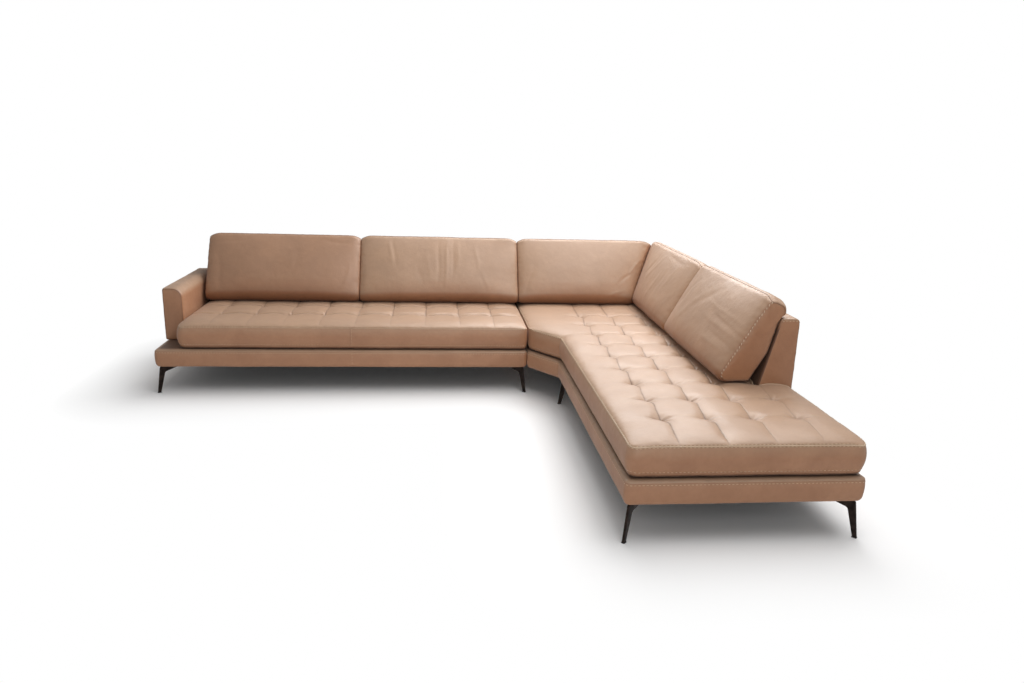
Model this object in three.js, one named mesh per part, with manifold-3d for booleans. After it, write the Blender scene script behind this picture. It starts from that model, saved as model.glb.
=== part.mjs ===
// Corner sofa in leather: a long wing with one arm, joined to a corner module that runs forward
// as a chaise. Lengths are millimetres. X runs right, Y runs to the back and Z runs up.

import * as THREE from 'three';
import { mergeVertices } from 'three/addons/utils/BufferGeometryUtils.js';
import Module from 'manifold-3d';

const wasm = await Module();
wasm.setup();

// Plan of the two modules, measured from the seam where they meet and the wing's front
const wingLength = 2240;
const moduleDepth = 980;
const chaiseOffset = 160;
const chamferDepth = 220;
const chaiseReach = 1880;
const chaiseWidth = 996;
const sideBackReach = 1160;

// Clearances
const seatedGap = 0.3;
const moduleGap = 1;
const cutOverrun = 5;

// Heights, stacked from the floor
const legHeight = 162;
const platformSide = 96;
const platformCrown = 14;
const seatUnderRound = 26;
const seatBoxing = 112;
const seatCrown = 28;

// Platform: a padded leather wrap over a timber frame
const platformDraw = 22;
const platformUnderRound = 30;
const platformSeamDraw = 2;
const platformRoll = 38;
const platformCornerRadius = 26;
const platformWall = 34;
const platformDeckWall = 12;
const railWidth = 50;
const railHeight = 60;
const crossRailWidth = 45;
const wingBays = 6;
const chaiseBays = 8;
const dustCoverThickness = 1.5;
const strapWidth = 60;
const strapThickness = 2.5;
const strapBearing = 14;
const strapsAcross = 5;
const wingStrapsAlong = 6;
const chaiseStrapsAlong = 8;

// Seat cushions: boxed sides, a crowned top and sewn tufts
const seatFrontSet = 4;
const seatSeamDraw = 7;
const seatUnderDraw = 34;
const seatCornerCut = 8;
const seatCrownRun = 125;
const armSideGap = 20;
const wingTuftInset = 211;
const wingTuftPitch = 213;
const wingTuftEndRoom = 120;
const wingTuftRowInset = 296;
const wingTuftRows = 2;
const chaiseTuftInset = 208;
const chaiseTuftPitch = 199;
const chaiseTuftColumns = 4;
const chaiseTuftRowInset = 276;
const chaiseTuftRows = 9;
const tuftRowPitch = 238;
const tuftDepth = 15;
const tuftReach = 42;
const lengthwiseCreaseDepth = 7;
const crosswiseCreaseDepth = 4;
const creaseReach = 26;
const edgeLineShares = [0, 0.11, 0.32, 0.65];
const betweenTuftShares = [1 / 3, 2 / 3];

// Back panels: timber frames in padded covers, leaning on the inner face only
const panelFoot = 175;
const panelTop = 95;
const panelHeight = 488;
const panelKnee = 160;
const panelEdgeRadius = 15;
const panelEndRound = 10;
const panelWall = 12;
const boardThickness = 30;
const boardSetback = 40;
const boardRail = 55;
const boardBayLimit = 330;

// Arm
const armWidth = 118;
const armHeight = 328;
const armFrontSet = 225;
const armOuterRadius = 15;
const armInnerRadius = 45;
const armWall = 14;
const armBoardThickness = 30;
const armBoardLine = 52;
const armBoardRail = 60;
const armBoardClearance = 44;
const armBoardPosts = 2;

// Back cushions: leaning boxes with a crowned face and drawn-in ends
const cushionFoot = 190;
const cushionLean = 242;
const cushionRise = 421;
const cushionApexRun = 34;
const cushionDome = 6;
const cushionOverhang = 26;
const cushionShoulder = 18;
const cushionBackHeight = 56;
const cushionContactHeight = 150;
const wingWedgeGap = 30;
const sideWedgeGap = 46;
const cushionFaceCrown = 24;
const cushionCrownReach = 110;
const cushionEndDraw = 14;
const cushionEndRun = 26;
const cushionSideGap = 2;
const cushionFootRadius = 16;
const cushionSeamRadius = 12;
const cushionBackRadius = 22;
const outerCushionLength = 1014;
const cornerFootDrift = 34;
const innerSideCushionReach = 185;
const valleyShare = 0.72;
const crownPower = 4;
const cushionFaceSplits = 4;
const cushionStationShares = [0.1, 0.25, 0.5, 0.75, 0.9];

// Legs: bent blades with a screwed flange, splayed outwards along each corner's diagonal
const legBladeThickness = 11;
const legTipWidth = 17;
const legShoulderWidth = 28;
const legTipInset = 12.5;
const legSplay = 23;
const legShoulderDrop = 8;
const legElbowDrop = 38;
const legBracketLength = 104;
const legBracketEnd = 22;
const legShoulderRadius = 4;
const flangeThickness = 4;
const flangeWidth = 34;
const flangeEnd = 28;
const glideHeight = 4;
const glideMargin = 1.5;
const rearSeamLegInset = 60;

// Fasteners
const boltHeadRadius = 8;
const boltHeadHeight = 4;
const boltRadius = 4;
const boltGrip = 44;
const boltTip = 4;
const boltClearance = 0.6;
const joiningPlateLength = 150;
const joiningPlateWidth = 50;
const joiningPlateThickness = 3;
const joiningPlateInset = 190;
const joiningBoltInset = 16;

// How finely round shapes are drawn
const cornerSteps = 3;
const roundSteps = 3;
const fastenerSides = 8;
const weldDistance = 0.001;

// Levels that follow from the stack
const undersideZ = legHeight;
const platformSeamZ = undersideZ + platformSide;
const platformTopZ = platformSeamZ + platformCrown;
const seatBottomZ = platformTopZ + seatedGap;
const seatLowerSeamZ = platformTopZ + seatUnderRound;
const seatUpperSeamZ = seatLowerSeamZ + seatBoxing;
const seatTopZ = seatUpperSeamZ + seatCrown;
const panelFootZ = platformTopZ + seatedGap;
const panelTopZ = platformTopZ + panelHeight;
const panelKneeZ = platformTopZ + panelKnee;
const railBottomZ = undersideZ + dustCoverThickness + seatedGap;
const railTopZ = railBottomZ + railHeight;
const strapBottomZ = railTopZ + seatedGap;
const deckFoamBottomZ = strapBottomZ + strapThickness + seatedGap;
const deckCeilingZ = platformTopZ - platformDeckWall;
const cushionFootZ = seatTopZ + seatedGap;
const chaiseOuter = chaiseOffset + chaiseWidth;

// Finishes, one of which each piece copies
const finishes = {
  leather: { color: 0xb68a6d, roughness: 0.55, metalness: 0 },
  foam: { color: 0xe6dcae, roughness: 0.95, metalness: 0 },
  timber: { color: 0xc8a06a, roughness: 0.8, metalness: 0 },
  webbing: { color: 0x2f2c2a, roughness: 0.9, metalness: 0 },
  lining: { color: 0x1c1b1b, roughness: 0.95, metalness: 0 },
  bronze: { color: 0x2b2320, roughness: 0.45, metalness: 0.6 },
  steel: { color: 0x9a9c9e, roughness: 0.35, metalness: 1 },
  plastic: { color: 0x161616, roughness: 0.6, metalness: 0 },
};

const sofa = new THREE.Group();

// Adds one piece to a group, with a finish of its own.
function addPiece(parent, name, geometry, finish) {
  const mesh = new THREE.Mesh(geometry, new THREE.MeshStandardMaterial(finishes[finish]));
  mesh.name = name;
  parent.add(mesh);
  return mesh;
}

// A point of an outline: its place, the radius of its corner and the steps to the next point.
function corner(x, y, radius = 0, splits = 1) {
  return { x, y, radius, splits };
}

// The same outline moved inwards by an inset. Outlines are walked anticlockwise.
function insetOutline(outline, inset) {
  const count = outline.length;
  return outline.map((point, index) => {
    const before = outline[(index + count - 1) % count];
    const after = outline[(index + 1) % count];
    const arrive = new THREE.Vector2(point.x - before.x, point.y - before.y).normalize();
    const leave = new THREE.Vector2(after.x - point.x, after.y - point.y).normalize();
    const inward = new THREE.Vector2(-arrive.y - leave.y, arrive.x + leave.x);
    const move = (inset + inset) / inward.lengthSq();
    return { ...point, x: point.x + inward.x * move, y: point.y + inward.y * move };
  });
}

// The outline's points, with each rounded corner drawn as a short curve and long sides split.
function drawOutline(outline) {
  const count = outline.length;
  const points = [];
  outline.forEach((point, index) => {
    const here = new THREE.Vector2(point.x, point.y);
    const before = outline[(index + count - 1) % count];
    const after = outline[(index + 1) % count];
    const toBefore = new THREE.Vector2(before.x, before.y).sub(here).normalize();
    const toAfter = new THREE.Vector2(after.x, after.y).sub(here).normalize();
    const start = here.clone().addScaledVector(toBefore, point.radius);
    const end = here.clone().addScaledVector(toAfter, point.radius);
    const bend = new THREE.QuadraticBezierCurve(start, here, end);
    points.push(...(point.radius > 0 ? bend.getPoints(cornerSteps) : [here]));
    const last = new THREE.Vector2(after.x, after.y).addScaledVector(toAfter, -after.radius);
    for (let step = 1; step < point.splits; step += 1) {
      points.push(end.clone().lerp(last, step / point.splits));
    }
  });
  return points;
}

// The volume inside a closed skin, negative where its faces point inwards.
function signedVolume(positions, indices) {
  const at = (index) => new THREE.Vector3().fromArray(positions, index * 3);
  let volume = 0;
  for (let face = 0; face < indices.length; face += 3) {
    const [a, b, c] = [at(indices[face]), at(indices[face + 1]), at(indices[face + 2])];
    volume += a.dot(b.cross(c));
  }
  return volume;
}

// A closed skin from points and triangles, turned so that its faces point outwards.
function skin(points, indices) {
  const positions = points.flatMap((point) => [point.x, point.y, point.z]);
  const facing = signedVolume(positions, indices) > 0 ? indices : indices.slice().reverse();
  const geometry = new THREE.BufferGeometry();
  geometry.setAttribute('position', new THREE.Float32BufferAttribute(positions, 3));
  geometry.setIndex(facing);
  return geometry;
}

// Triangles that join a run of rings with equal numbers of points, from a first index on.
function ringTriangles(ringCount, pointCount, first = 0) {
  const indices = [];
  for (let ring = 0; ring + 1 < ringCount; ring += 1) {
    for (let side = 0; side < pointCount; side += 1) {
      const a = first + ring * pointCount + side;
      const b = first + ring * pointCount + ((side + 1) % pointCount);
      indices.push(a, b, b + pointCount, a, b + pointCount, a + pointCount);
    }
  }
  return indices;
}

// A closed solid through rings, capped at both ends. The flattened rings are anticlockwise.
function loft(rings, flatten) {
  const pointCount = rings[0].length;
  const indices = ringTriangles(rings.length, pointCount);
  const lastRing = (rings.length - 1) * pointCount;
  THREE.ShapeUtils.triangulateShape(rings[0].map(flatten), [])
    .forEach(([a, b, c]) => indices.push(c, b, a));
  THREE.ShapeUtils.triangulateShape(rings[rings.length - 1].map(flatten), [])
    .forEach(([a, b, c]) => indices.push(lastRing + a, lastRing + b, lastRing + c));
  return skin(rings.flat(), indices);
}

// A solid stacked from plan outlines: each level gives its inset and its height.
function stackOutline(outline, levels) {
  const rings = levels.map(({ inset, z }) => drawOutline(insetOutline(outline, inset))
    .map((point) => new THREE.Vector3(point.x, point.y, z)));
  return loft(rings, (point) => new THREE.Vector2(point.x, point.y));
}

function straightStack(outline, inset, bottom, top) {
  return stackOutline(outline, [{ inset, z: bottom }, { inset, z: top }]);
}

// Joining and cutting of closed solids
function toSolid(geometry) {
  const bare = geometry.clone();
  bare.deleteAttribute('normal');
  bare.deleteAttribute('uv');
  const welded = mergeVertices(bare, weldDistance);
  return new wasm.Manifold(new wasm.Mesh({
    numProp: 3,
    vertProperties: Float32Array.from(welded.attributes.position.array),
    triVerts: Uint32Array.from(welded.index.array),
  }));
}

function toGeometry(solid) {
  const mesh = solid.getMesh();
  const geometry = new THREE.BufferGeometry();
  geometry.setAttribute('position', new THREE.BufferAttribute(mesh.vertProperties, 3));
  geometry.setIndex(new THREE.BufferAttribute(mesh.triVerts, 1));
  return geometry;
}

function cut(geometry, cutters) {
  const left = cutters.reduce((solid, cutter) => solid.subtract(toSolid(cutter)), toSolid(geometry));
  return toGeometry(left);
}

function join(geometries) {
  return toGeometry(geometries.map(toSolid).reduce((solid, next) => solid.add(next)));
}

// A box between two corners.
function block(x0, y0, z0, x1, y1, z1) {
  const box = new THREE.BoxGeometry(x1 - x0, y1 - y0, z1 - z0);
  return box.translate((x0 + x1) / 2, (y0 + y1) / 2, (z0 + z1) / 2);
}

// An upright rod with flat ends.
function rod(x, y, bottom, top, radius) {
  const cylinder = new THREE.CylinderGeometry(radius, radius, top - bottom, fastenerSides);
  return cylinder.rotateX(Math.PI / 2).translate(x, y, (bottom + top) / 2);
}

function rectangle(x0, y0, x1, y1, radius = 0) {
  return [corner(x0, y0, radius), corner(x1, y0, radius), corner(x1, y1, radius), corner(x0, y1, radius)];
}

// Outlines of the two modules

const wingOutline = rectangle(-wingLength, 0, -moduleGap / 2, moduleDepth, platformCornerRadius);

// Where the chamfer's line passes a given distance right of the seam.
function chamferY(x) {
  return -chamferDepth * x / chaiseOffset;
}

const chaiseOutline = [
  corner(moduleGap / 2, chamferY(moduleGap / 2), platformCornerRadius),
  corner(chaiseOffset, -chamferDepth, platformCornerRadius),
  corner(chaiseOffset, -chaiseReach, platformCornerRadius),
  corner(chaiseOuter, -chaiseReach, platformCornerRadius),
  corner(chaiseOuter, moduleDepth, platformCornerRadius),
  corner(moduleGap / 2, moduleDepth, platformCornerRadius),
];

// Legs: where each stands, and the direction that points inwards from its corner

const chamferLength = Math.hypot(chaiseOffset, chamferDepth);
const chamferInward = [1 + chamferDepth / chamferLength, chaiseOffset / chamferLength];

const legs = [
  { name: 'wing_leg_front_outer', module: 'wing', x: -wingLength, y: 0, inward: [1, 1] },
  { name: 'wing_leg_front_inner', module: 'wing', x: -moduleGap / 2, y: 0, inward: [-1, 1] },
  { name: 'wing_leg_rear_outer', module: 'wing', x: -wingLength, y: moduleDepth, inward: [1, -1] },
  { name: 'wing_leg_rear_inner', module: 'wing', x: -moduleGap / 2, y: moduleDepth, inward: [-1, -1] },
  { name: 'chaise_leg_front_inner', module: 'chaise', x: chaiseOffset, y: -chaiseReach, inward: [1, 1] },
  { name: 'chaise_leg_front_outer', module: 'chaise', x: chaiseOuter, y: -chaiseReach, inward: [-1, 1] },
  { name: 'chaise_leg_rear_outer', module: 'chaise', x: chaiseOuter, y: moduleDepth, inward: [-1, -1] },
  { name: 'chaise_leg_rear_inner', module: 'chaise', x: rearSeamLegInset, y: moduleDepth, inward: [1, -1] },
  { name: 'chaise_leg_corner', module: 'chaise', x: chaiseOffset, y: -chamferDepth, inward: chamferInward },
];

// The blade's outline in its own upright plane: X runs outwards from the tip, Y runs up.
const shoulderOut = legTipWidth / 2 - legSplay;
const shoulderIn = shoulderOut - legShoulderWidth;
const bracketEnd = shoulderOut - legBracketLength;
const bladeTop = legHeight - seatedGap;

function bladeOutline() {
  return [
    corner(-legTipWidth / 2, glideHeight),
    corner(legTipWidth / 2, glideHeight),
    corner(shoulderOut, bladeTop - legShoulderDrop, legShoulderRadius),
    corner(shoulderOut - legShoulderDrop, bladeTop),
    corner(bracketEnd, bladeTop),
    corner(bracketEnd, bladeTop - legBracketEnd),
    corner(shoulderIn, bladeTop - legElbowDrop, legShoulderDrop),
  ];
}

// The bolt passes the flange where it runs on past the bracket's thin end.
const boltPlace = bracketEnd - flangeEnd / 2;

// A blade and its flange, standing at the origin with its tip below and its splay along X.
function legGeometry() {
  const blade = new THREE.ExtrudeGeometry(new THREE.Shape(drawOutline(bladeOutline())), {
    depth: legBladeThickness,
    bevelEnabled: false,
  });
  blade.rotateX(Math.PI / 2).translate(0, legBladeThickness / 2, 0);
  const flange = block(
    bracketEnd - flangeEnd,
    -flangeWidth / 2,
    bladeTop - flangeThickness,
    shoulderIn,
    flangeWidth / 2,
    bladeTop,
  );
  return cut(join([blade, flange]), [boltHole(new THREE.Vector2(boltPlace, 0))]);
}

// Turns a leg's own frame to its corner.
function legMatrix({ x, y, inward }) {
  const [inX, inY] = inward;
  const angle = Math.atan2(-inY, -inX);
  const tip = new THREE.Vector2(inX, inY).normalize().multiplyScalar(legTipInset * Math.SQRT2);
  const turn = new THREE.Matrix4().makeRotationZ(angle);
  return turn.setPosition(x + tip.x, y + tip.y, 0);
}

// Where a leg's bolt stands on the plan.
function legBoltPoint(leg) {
  return new THREE.Vector3(boltPlace, 0, 0).applyMatrix4(legMatrix(leg));
}

// The hole for a bolt, from below its head to past its point.
function boltHole(point) {
  const top = undersideZ + boltGrip + boltTip + seatedGap;
  return rod(point.x, point.y, undersideZ - legElbowDrop, top, boltRadius + boltClearance);
}

// A bolt with its head below a bearing level and its point up in the rail.
function boltGeometry(point, bearing) {
  const profile = [
    new THREE.Vector2(0, bearing - boltHeadHeight),
    new THREE.Vector2(boltHeadRadius, bearing - boltHeadHeight),
    new THREE.Vector2(boltHeadRadius, bearing),
    new THREE.Vector2(boltRadius, bearing),
    new THREE.Vector2(boltRadius, bearing + boltGrip),
    new THREE.Vector2(0, bearing + boltGrip + boltTip),
  ];
  const bolt = new THREE.LatheGeometry(profile, fastenerSides);
  return bolt.rotateX(Math.PI / 2).translate(point.x, point.y, 0);
}

// Plates that hold the two modules together, under both platforms
const joiningPlateTop = undersideZ - seatedGap;
const joiningPlates = [
  { name: 'joining_plate_front', line: joiningPlateInset },
  { name: 'joining_plate_rear', line: moduleDepth - joiningPlateInset },
];

// Where a plate's bolt stands: side is -1 in the wing and 1 in the chaise.
function joiningBoltPoint(line, side) {
  return new THREE.Vector2(side * (joiningPlateLength / 2 - joiningBoltInset), line);
}

function moduleBoltPoints(module, side) {
  const own = legs.filter((leg) => leg.module === module).map(legBoltPoint);
  return [...own, ...joiningPlates.map(({ line }) => joiningBoltPoint(line, side))];
}

// Posts of an upright board, spread evenly between its ends.
function postSpans(start, end, count, width) {
  const clear = (end - start - width * count) / (count - 1);
  return Array.from({ length: count }, (_, post) => {
    const from = start + post * (clear + width);
    return [from, from + width];
  });
}

// A back board has as many posts as keep each bay under the limit.
function boardSpans([start, end]) {
  const bays = Math.ceil((end - start - boardRail) / boardBayLimit);
  return postSpans(start, end, bays + 1, boardRail);
}

const boardBottomZ = railTopZ + seatedGap;
const boardEndGap = platformWall + panelWall;
const wingBoardSpan = [-wingLength + armWidth + boardEndGap, -moduleGap / 2 - boardEndGap];
const cornerBoardSpan = [moduleGap / 2 + boardEndGap, chaiseOuter - panelFoot - boardEndGap];
const sideBoardSpan = [-moduleDepth + panelFoot + boardEndGap, sideBackReach - boardEndGap];
const armBoardSpan = [armFrontSet + armBoardClearance, moduleDepth - armBoardClearance];

// The upright boards' two faces, for a module of a given depth and for the arm
function boardFaces(depth) {
  return [depth - boardSetback - boardThickness, depth - boardSetback];
}

const armBoardFaces = [
  -wingLength + armBoardLine - armBoardThickness / 2,
  -wingLength + armBoardLine + armBoardThickness / 2,
];

// The slot in a platform's top for a post that stands on the rail below.
function slot([x0, x1], [y0, y1]) {
  const top = platformTopZ + cutOverrun;
  return block(x0 - seatedGap, y0 - seatedGap, railTopZ, x1 + seatedGap, y1 + seatedGap, top);
}

const wingSlots = [
  ...boardSpans(wingBoardSpan).map((span) => slot(span, boardFaces(moduleDepth))),
  ...postSpans(...armBoardSpan, armBoardPosts, armBoardRail).map((span) => slot(armBoardFaces, span)),
];
const chaiseSlots = [
  ...boardSpans(cornerBoardSpan).map((span) => slot(span, boardFaces(moduleDepth))),
  ...boardSpans(sideBoardSpan)
    .map(([from, to]) => slot(boardFaces(chaiseWidth).map((face) => chaiseOffset + face), [-to, -from])),
];

// Platforms

function quarterLevels(build) {
  return Array.from({ length: roundSteps + 1 }, (_, step) => build((step / roundSteps) * Math.PI / 2));
}

function platformWrap(outline, slots) {
  const under = quarterLevels((angle) => ({
    inset: platformDraw * (1 - Math.sin(angle)),
    z: undersideZ + platformUnderRound * (1 - Math.cos(angle)),
  }));
  const over = quarterLevels((angle) => ({
    inset: platformSeamDraw + platformRoll * (1 - Math.cos(angle)),
    z: platformSeamZ + platformCrown * Math.sin(angle),
  }));
  const body = stackOutline(outline, [...under, ...over]);
  const square = outline.map((point) => ({ ...point, radius: 0 }));
  const hollow = straightStack(square, platformWall, undersideZ - cutOverrun, deckCeilingZ);
  return cut(body, [hollow, ...slots]);
}

// Bays between cross rails, as boxes to cut from a timber slab.
function baysAlong(start, end, count) {
  const clear = (end - start - crossRailWidth * (count - 1)) / count;
  return Array.from({ length: count }, (_, bay) => {
    const from = start + bay * (clear + crossRailWidth);
    return [from, from + clear];
  });
}

const railInset = platformWall + seatedGap;
const railInner = railInset + railWidth;
const bayBottomZ = railBottomZ - cutOverrun;
const bayTopZ = railTopZ + cutOverrun;

// A flat layer of the platform, inside its wrap, with bays, holes or slots cut out.
function layer(outline, bottom, top, cutters) {
  const square = outline.map((point) => ({ ...point, radius: 0 }));
  return cut(straightStack(square, railInset, bottom, top), cutters);
}

// Straps that cross one another, woven into one mat. They bear on the rails all round.
function strapMat(x0, y0, x1, y1, columns, rows) {
  const bottom = strapBottomZ;
  const top = strapBottomZ + strapThickness;
  const half = strapWidth / 2;
  const spread = (start, end, count) => Array.from({ length: count }, (_, line) => (
    start + ((end - start) * (line + 1)) / (count + 1)));
  return join([
    ...spread(x0, x1, columns).map((line) => block(line - half, y0, bottom, line + half, y1, top)),
    ...spread(y0, y1, rows).map((line) => block(x0, line - half, bottom, x1, line + half, top)),
  ]);
}

const wingBayBoxes = baysAlong(-wingLength + railInner, -moduleGap / 2 - railInner, wingBays)
  .map(([from, to]) => block(from, railInner, bayBottomZ, to, moduleDepth - railInner, bayTopZ));

// A bay beside the chamfer starts at the chaise's inner side; one behind it starts at the seam.
const chaiseBayBoxes = baysAlong(-chaiseReach + railInner, moduleDepth - railInner, chaiseBays)
  .map(([from, to]) => {
    const left = from > railInner ? moduleGap / 2 : chaiseOffset;
    return block(left + railInner, from, bayBottomZ, chaiseOuter - railInner, to, bayTopZ);
  });

const wing = new THREE.Group();
const chaise = new THREE.Group();
sofa.add(wing, chaise);

const modules = [
  {
    name: 'wing',
    group: wing,
    outline: wingOutline,
    bays: wingBayBoxes,
    slots: wingSlots,
    side: -1,
  },
  {
    name: 'chaise',
    group: chaise,
    outline: chaiseOutline,
    bays: chaiseBayBoxes,
    slots: chaiseSlots,
    side: 1,
  },
];

modules.forEach(({ name, group, outline, bays, slots, side }) => {
  const holes = moduleBoltPoints(name, side).map(boltHole);
  const frame = layer(outline, railBottomZ, railTopZ, [...bays, ...holes]);
  const cover = layer(outline, undersideZ, undersideZ + dustCoverThickness, holes);
  const foam = layer(outline, deckFoamBottomZ, deckCeilingZ - seatedGap, slots);
  addPiece(group, `${name}_platform_wrap`, platformWrap(outline, slots), 'leather');
  addPiece(group, `${name}_timber_frame`, frame, 'timber');
  addPiece(group, `${name}_dust_cover`, cover, 'lining');
  addPiece(group, `${name}_deck_foam`, foam, 'foam');
});

const strapInset = railInner - strapBearing;
addPiece(wing, 'wing_seat_webbing', strapMat(
  -wingLength + strapInset,
  strapInset,
  -moduleGap / 2 - strapInset,
  moduleDepth - strapInset,
  wingStrapsAlong,
  strapsAcross,
), 'webbing');
addPiece(chaise, 'chaise_seat_webbing', strapMat(
  chaiseOffset + strapInset,
  -chaiseReach + strapInset,
  chaiseOuter - strapInset,
  moduleDepth - strapInset,
  strapsAcross,
  chaiseStrapsAlong,
), 'webbing');

// Seat cushions

// Grid lines from one edge over the tufts to the other edge, closest where the crown is steep.
function tuftLines(start, end, firstTuft, pitch, count) {
  const direction = Math.sign(end - start);
  const first = start + direction * firstTuft;
  const last = first + direction * pitch * (count - 1);
  const lead = edgeLineShares.map((share) => start + (first - start) * share);
  const tail = edgeLineShares.map((share) => end + (last - end) * share).reverse();
  const middle = [first];
  for (let tuft = 0; tuft + 1 < count; tuft += 1) {
    const base = first + direction * pitch * tuft;
    betweenTuftShares.forEach((share) => middle.push(base + direction * pitch * share));
    middle.push(base + direction * pitch);
  }
  return [...lead, ...middle, ...tail].sort((a, b) => a - b);
}

// Moves the nearest line onto a value that the outline needs.
function snapLine(lines, value) {
  const nearest = lines.reduce((best, line) => (
    Math.abs(line - value) < Math.abs(best - value) ? line : best));
  return lines.map((line) => (line === nearest ? value : line));
}

// How far a tufted top dips below its crown at a point, from its tuft columns and rows.
function tuftDip(x, y, columns, rows, tufted) {
  const nearest = (lines, value) => Math.min(...lines.map((line) => Math.abs(line - value)));
  const across = nearest(columns, x);
  const along = nearest(rows, y);
  if (!tufted(x, y)) {
    return 0;
  }
  const fade = (distance, reach) => Math.exp(-((distance / reach) ** 2));
  const tuft = (tuftDepth - lengthwiseCreaseDepth) * fade(Math.hypot(across, along), tuftReach);
  const lengthwise = lengthwiseCreaseDepth * fade(across, creaseReach);
  const crosswise = crosswiseCreaseDepth * fade(along, creaseReach);
  return tuft + Math.max(lengthwise, crosswise);
}

// Share of the full crown at a distance from the nearest open edge.
function crownShare(distance) {
  const run = Math.min(Math.max(distance / seatCrownRun, 0), 1);
  return Math.sqrt(1 - (1 - run) ** 2);
}

// The loop of edges that only one triangle uses, in walking order.
function boundaryLoop(triangles) {
  const next = new Map();
  const edges = new Set();
  for (let face = 0; face < triangles.length; face += 3) {
    for (let side = 0; side < 3; side += 1) {
      edges.add(`${triangles[face + side]} ${triangles[face + ((side + 1) % 3)]}`);
    }
  }
  edges.forEach((edge) => {
    const [from, to] = edge.split(' ');
    if (!edges.has(`${to} ${from}`)) {
      next.set(Number(from), Number(to));
    }
  });
  const start = next.keys().next().value;
  const loop = [start];
  for (let at = next.get(start); at !== start; at = next.get(at)) {
    loop.push(at);
  }
  return loop;
}

// A boxed cushion over a grid of plan points. The side swells outwards between its two seams.
function seatCushion(columns, rows, { place, exists, heightAt }) {
  const points = [];
  const indexOf = new Map();
  const nodeAt = (column, row) => {
    const key = `${column} ${row}`;
    if (!indexOf.has(key)) {
      const { x, y } = place(columns[column], rows[row]);
      indexOf.set(key, points.length);
      points.push(new THREE.Vector3(x, y, heightAt(x, y)));
    }
    return indexOf.get(key);
  };
  const top = [];
  for (let column = 0; column + 1 < columns.length; column += 1) {
    for (let row = 0; row + 1 < rows.length; row += 1) {
      if (exists((columns[column] + columns[column + 1]) / 2, (rows[row] + rows[row + 1]) / 2)) {
        const [a, b] = [nodeAt(column, row), nodeAt(column + 1, row)];
        const [c, d] = [nodeAt(column + 1, row + 1), nodeAt(column, row + 1)];
        top.push(a, b, c, a, c, d);
      }
    }
  }
  const loop = boundaryLoop(top);
  const edge = loop.map((index) => points[index]);
  const rings = [
    edge.map((point) => point.clone()),
    drawnEdge(edge, -seatSeamDraw, (seatUpperSeamZ + seatLowerSeamZ) / 2),
    drawnEdge(edge, 0, seatLowerSeamZ),
    drawnEdge(edge, seatUnderDraw, seatBottomZ - cutOverrun),
  ];
  const first = points.length;
  points.push(...rings.flat());
  const floor = points.length;
  const sides = ringTriangles(rings.length, loop.length, first).reverse();
  const underOf = new Map(loop.map((index, place) => [index, floor - loop.length + place]));
  points.slice(0, first).forEach(({ x, y }) => {
    points.push(new THREE.Vector3(x, y, seatBottomZ - cutOverrun));
  });
  const floorOf = (index) => underOf.get(index) ?? floor + index;
  const bottom = top.map(floorOf).reverse();
  const body = skin(points, [...top, ...sides, ...bottom]);
  const [x0, x1] = [columns[0] - cutOverrun, columns[columns.length - 1] + cutOverrun];
  const [y0, y1] = [rows[0] - cutOverrun, rows[rows.length - 1] + cutOverrun];
  const depth = seatBottomZ - cutOverrun - cutOverrun;
  return cut(body, [block(x0, y0, depth, x1, y1, seatBottomZ)]);
}

// A cushion's edge loop, moved inwards on the plan and set at one height.
function drawnEdge(edge, inset, z) {
  return insetOutline(edge.map((point) => ({ x: point.x, y: point.y })), inset)
    .map((point) => new THREE.Vector3(point.x, point.y, z));
}

const wingSeat = {
  left: -wingLength + armWidth + armSideGap + seatSeamDraw,
  right: -moduleGap / 2 - seatSeamDraw,
  front: seatFrontSet + seatSeamDraw,
  back: moduleDepth - panelFoot - seatedGap - seatSeamDraw,
};
// Columns stand one pitch apart while they keep their room from the cushion's arm end.
const wingTuftRun = -wingTuftInset - wingTuftEndRoom - wingSeat.left;
const wingTuftColumns = Math.floor(wingTuftRun / wingTuftPitch) + 1;
const wingColumns = Array.from({ length: wingTuftColumns }, (_, tuft) => (
  -wingTuftInset - wingTuftPitch * tuft));
const wingRows = Array.from({ length: wingTuftRows }, (_, tuft) => (
  wingTuftRowInset + tuftRowPitch * tuft));

// Pulls a node on an outer corner of the plan inwards, which rounds the corner off.
function eased(x, y, cornerPoints) {
  const hit = cornerPoints.find((point) => Math.hypot(point.x - x, point.y - y) < seatCornerCut);
  return hit ? { x: x + hit.inX * seatCornerCut, y: y + hit.inY * seatCornerCut } : { x, y };
}

const wingSeatCorners = [
  { x: wingSeat.left, y: wingSeat.front, inX: 1, inY: 1 },
  { x: wingSeat.right, y: wingSeat.front, inX: -1, inY: 1 },
];

addPiece(wing, 'wing_seat_cushion', seatCushion(
  tuftLines(wingSeat.right, wingSeat.left, wingTuftInset, wingTuftPitch, wingTuftColumns),
  tuftLines(wingSeat.front, wingSeat.back, wingTuftRowInset - wingSeat.front, tuftRowPitch, wingTuftRows),
  {
    place: (x, y) => eased(x, y, wingSeatCorners),
    exists: () => true,
    heightAt: (x, y) => {
      const open = Math.min(x - wingSeat.left, wingSeat.right - x, y - wingSeat.front);
      const dip = tuftDip(x, y, wingColumns, wingRows, () => true);
      return seatUpperSeamZ + seatCrown * crownShare(open) - dip * crownShare(open);
    },
  },
), 'leather');

const chaiseSeat = {
  seam: moduleGap / 2 + seatSeamDraw,
  left: chaiseOffset + seatFrontSet + seatSeamDraw,
  right: chaiseOuter - seatFrontSet - seatSeamDraw,
  narrow: chaiseOuter - panelFoot - seatedGap - seatSeamDraw,
  front: -chaiseReach + seatFrontSet + seatSeamDraw,
  step: -sideBackReach - seatedGap - seatSeamDraw,
  chamfer: -chamferDepth + seatFrontSet + seatSeamDraw,
  back: moduleDepth - panelFoot - seatedGap - seatSeamDraw,
};

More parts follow.
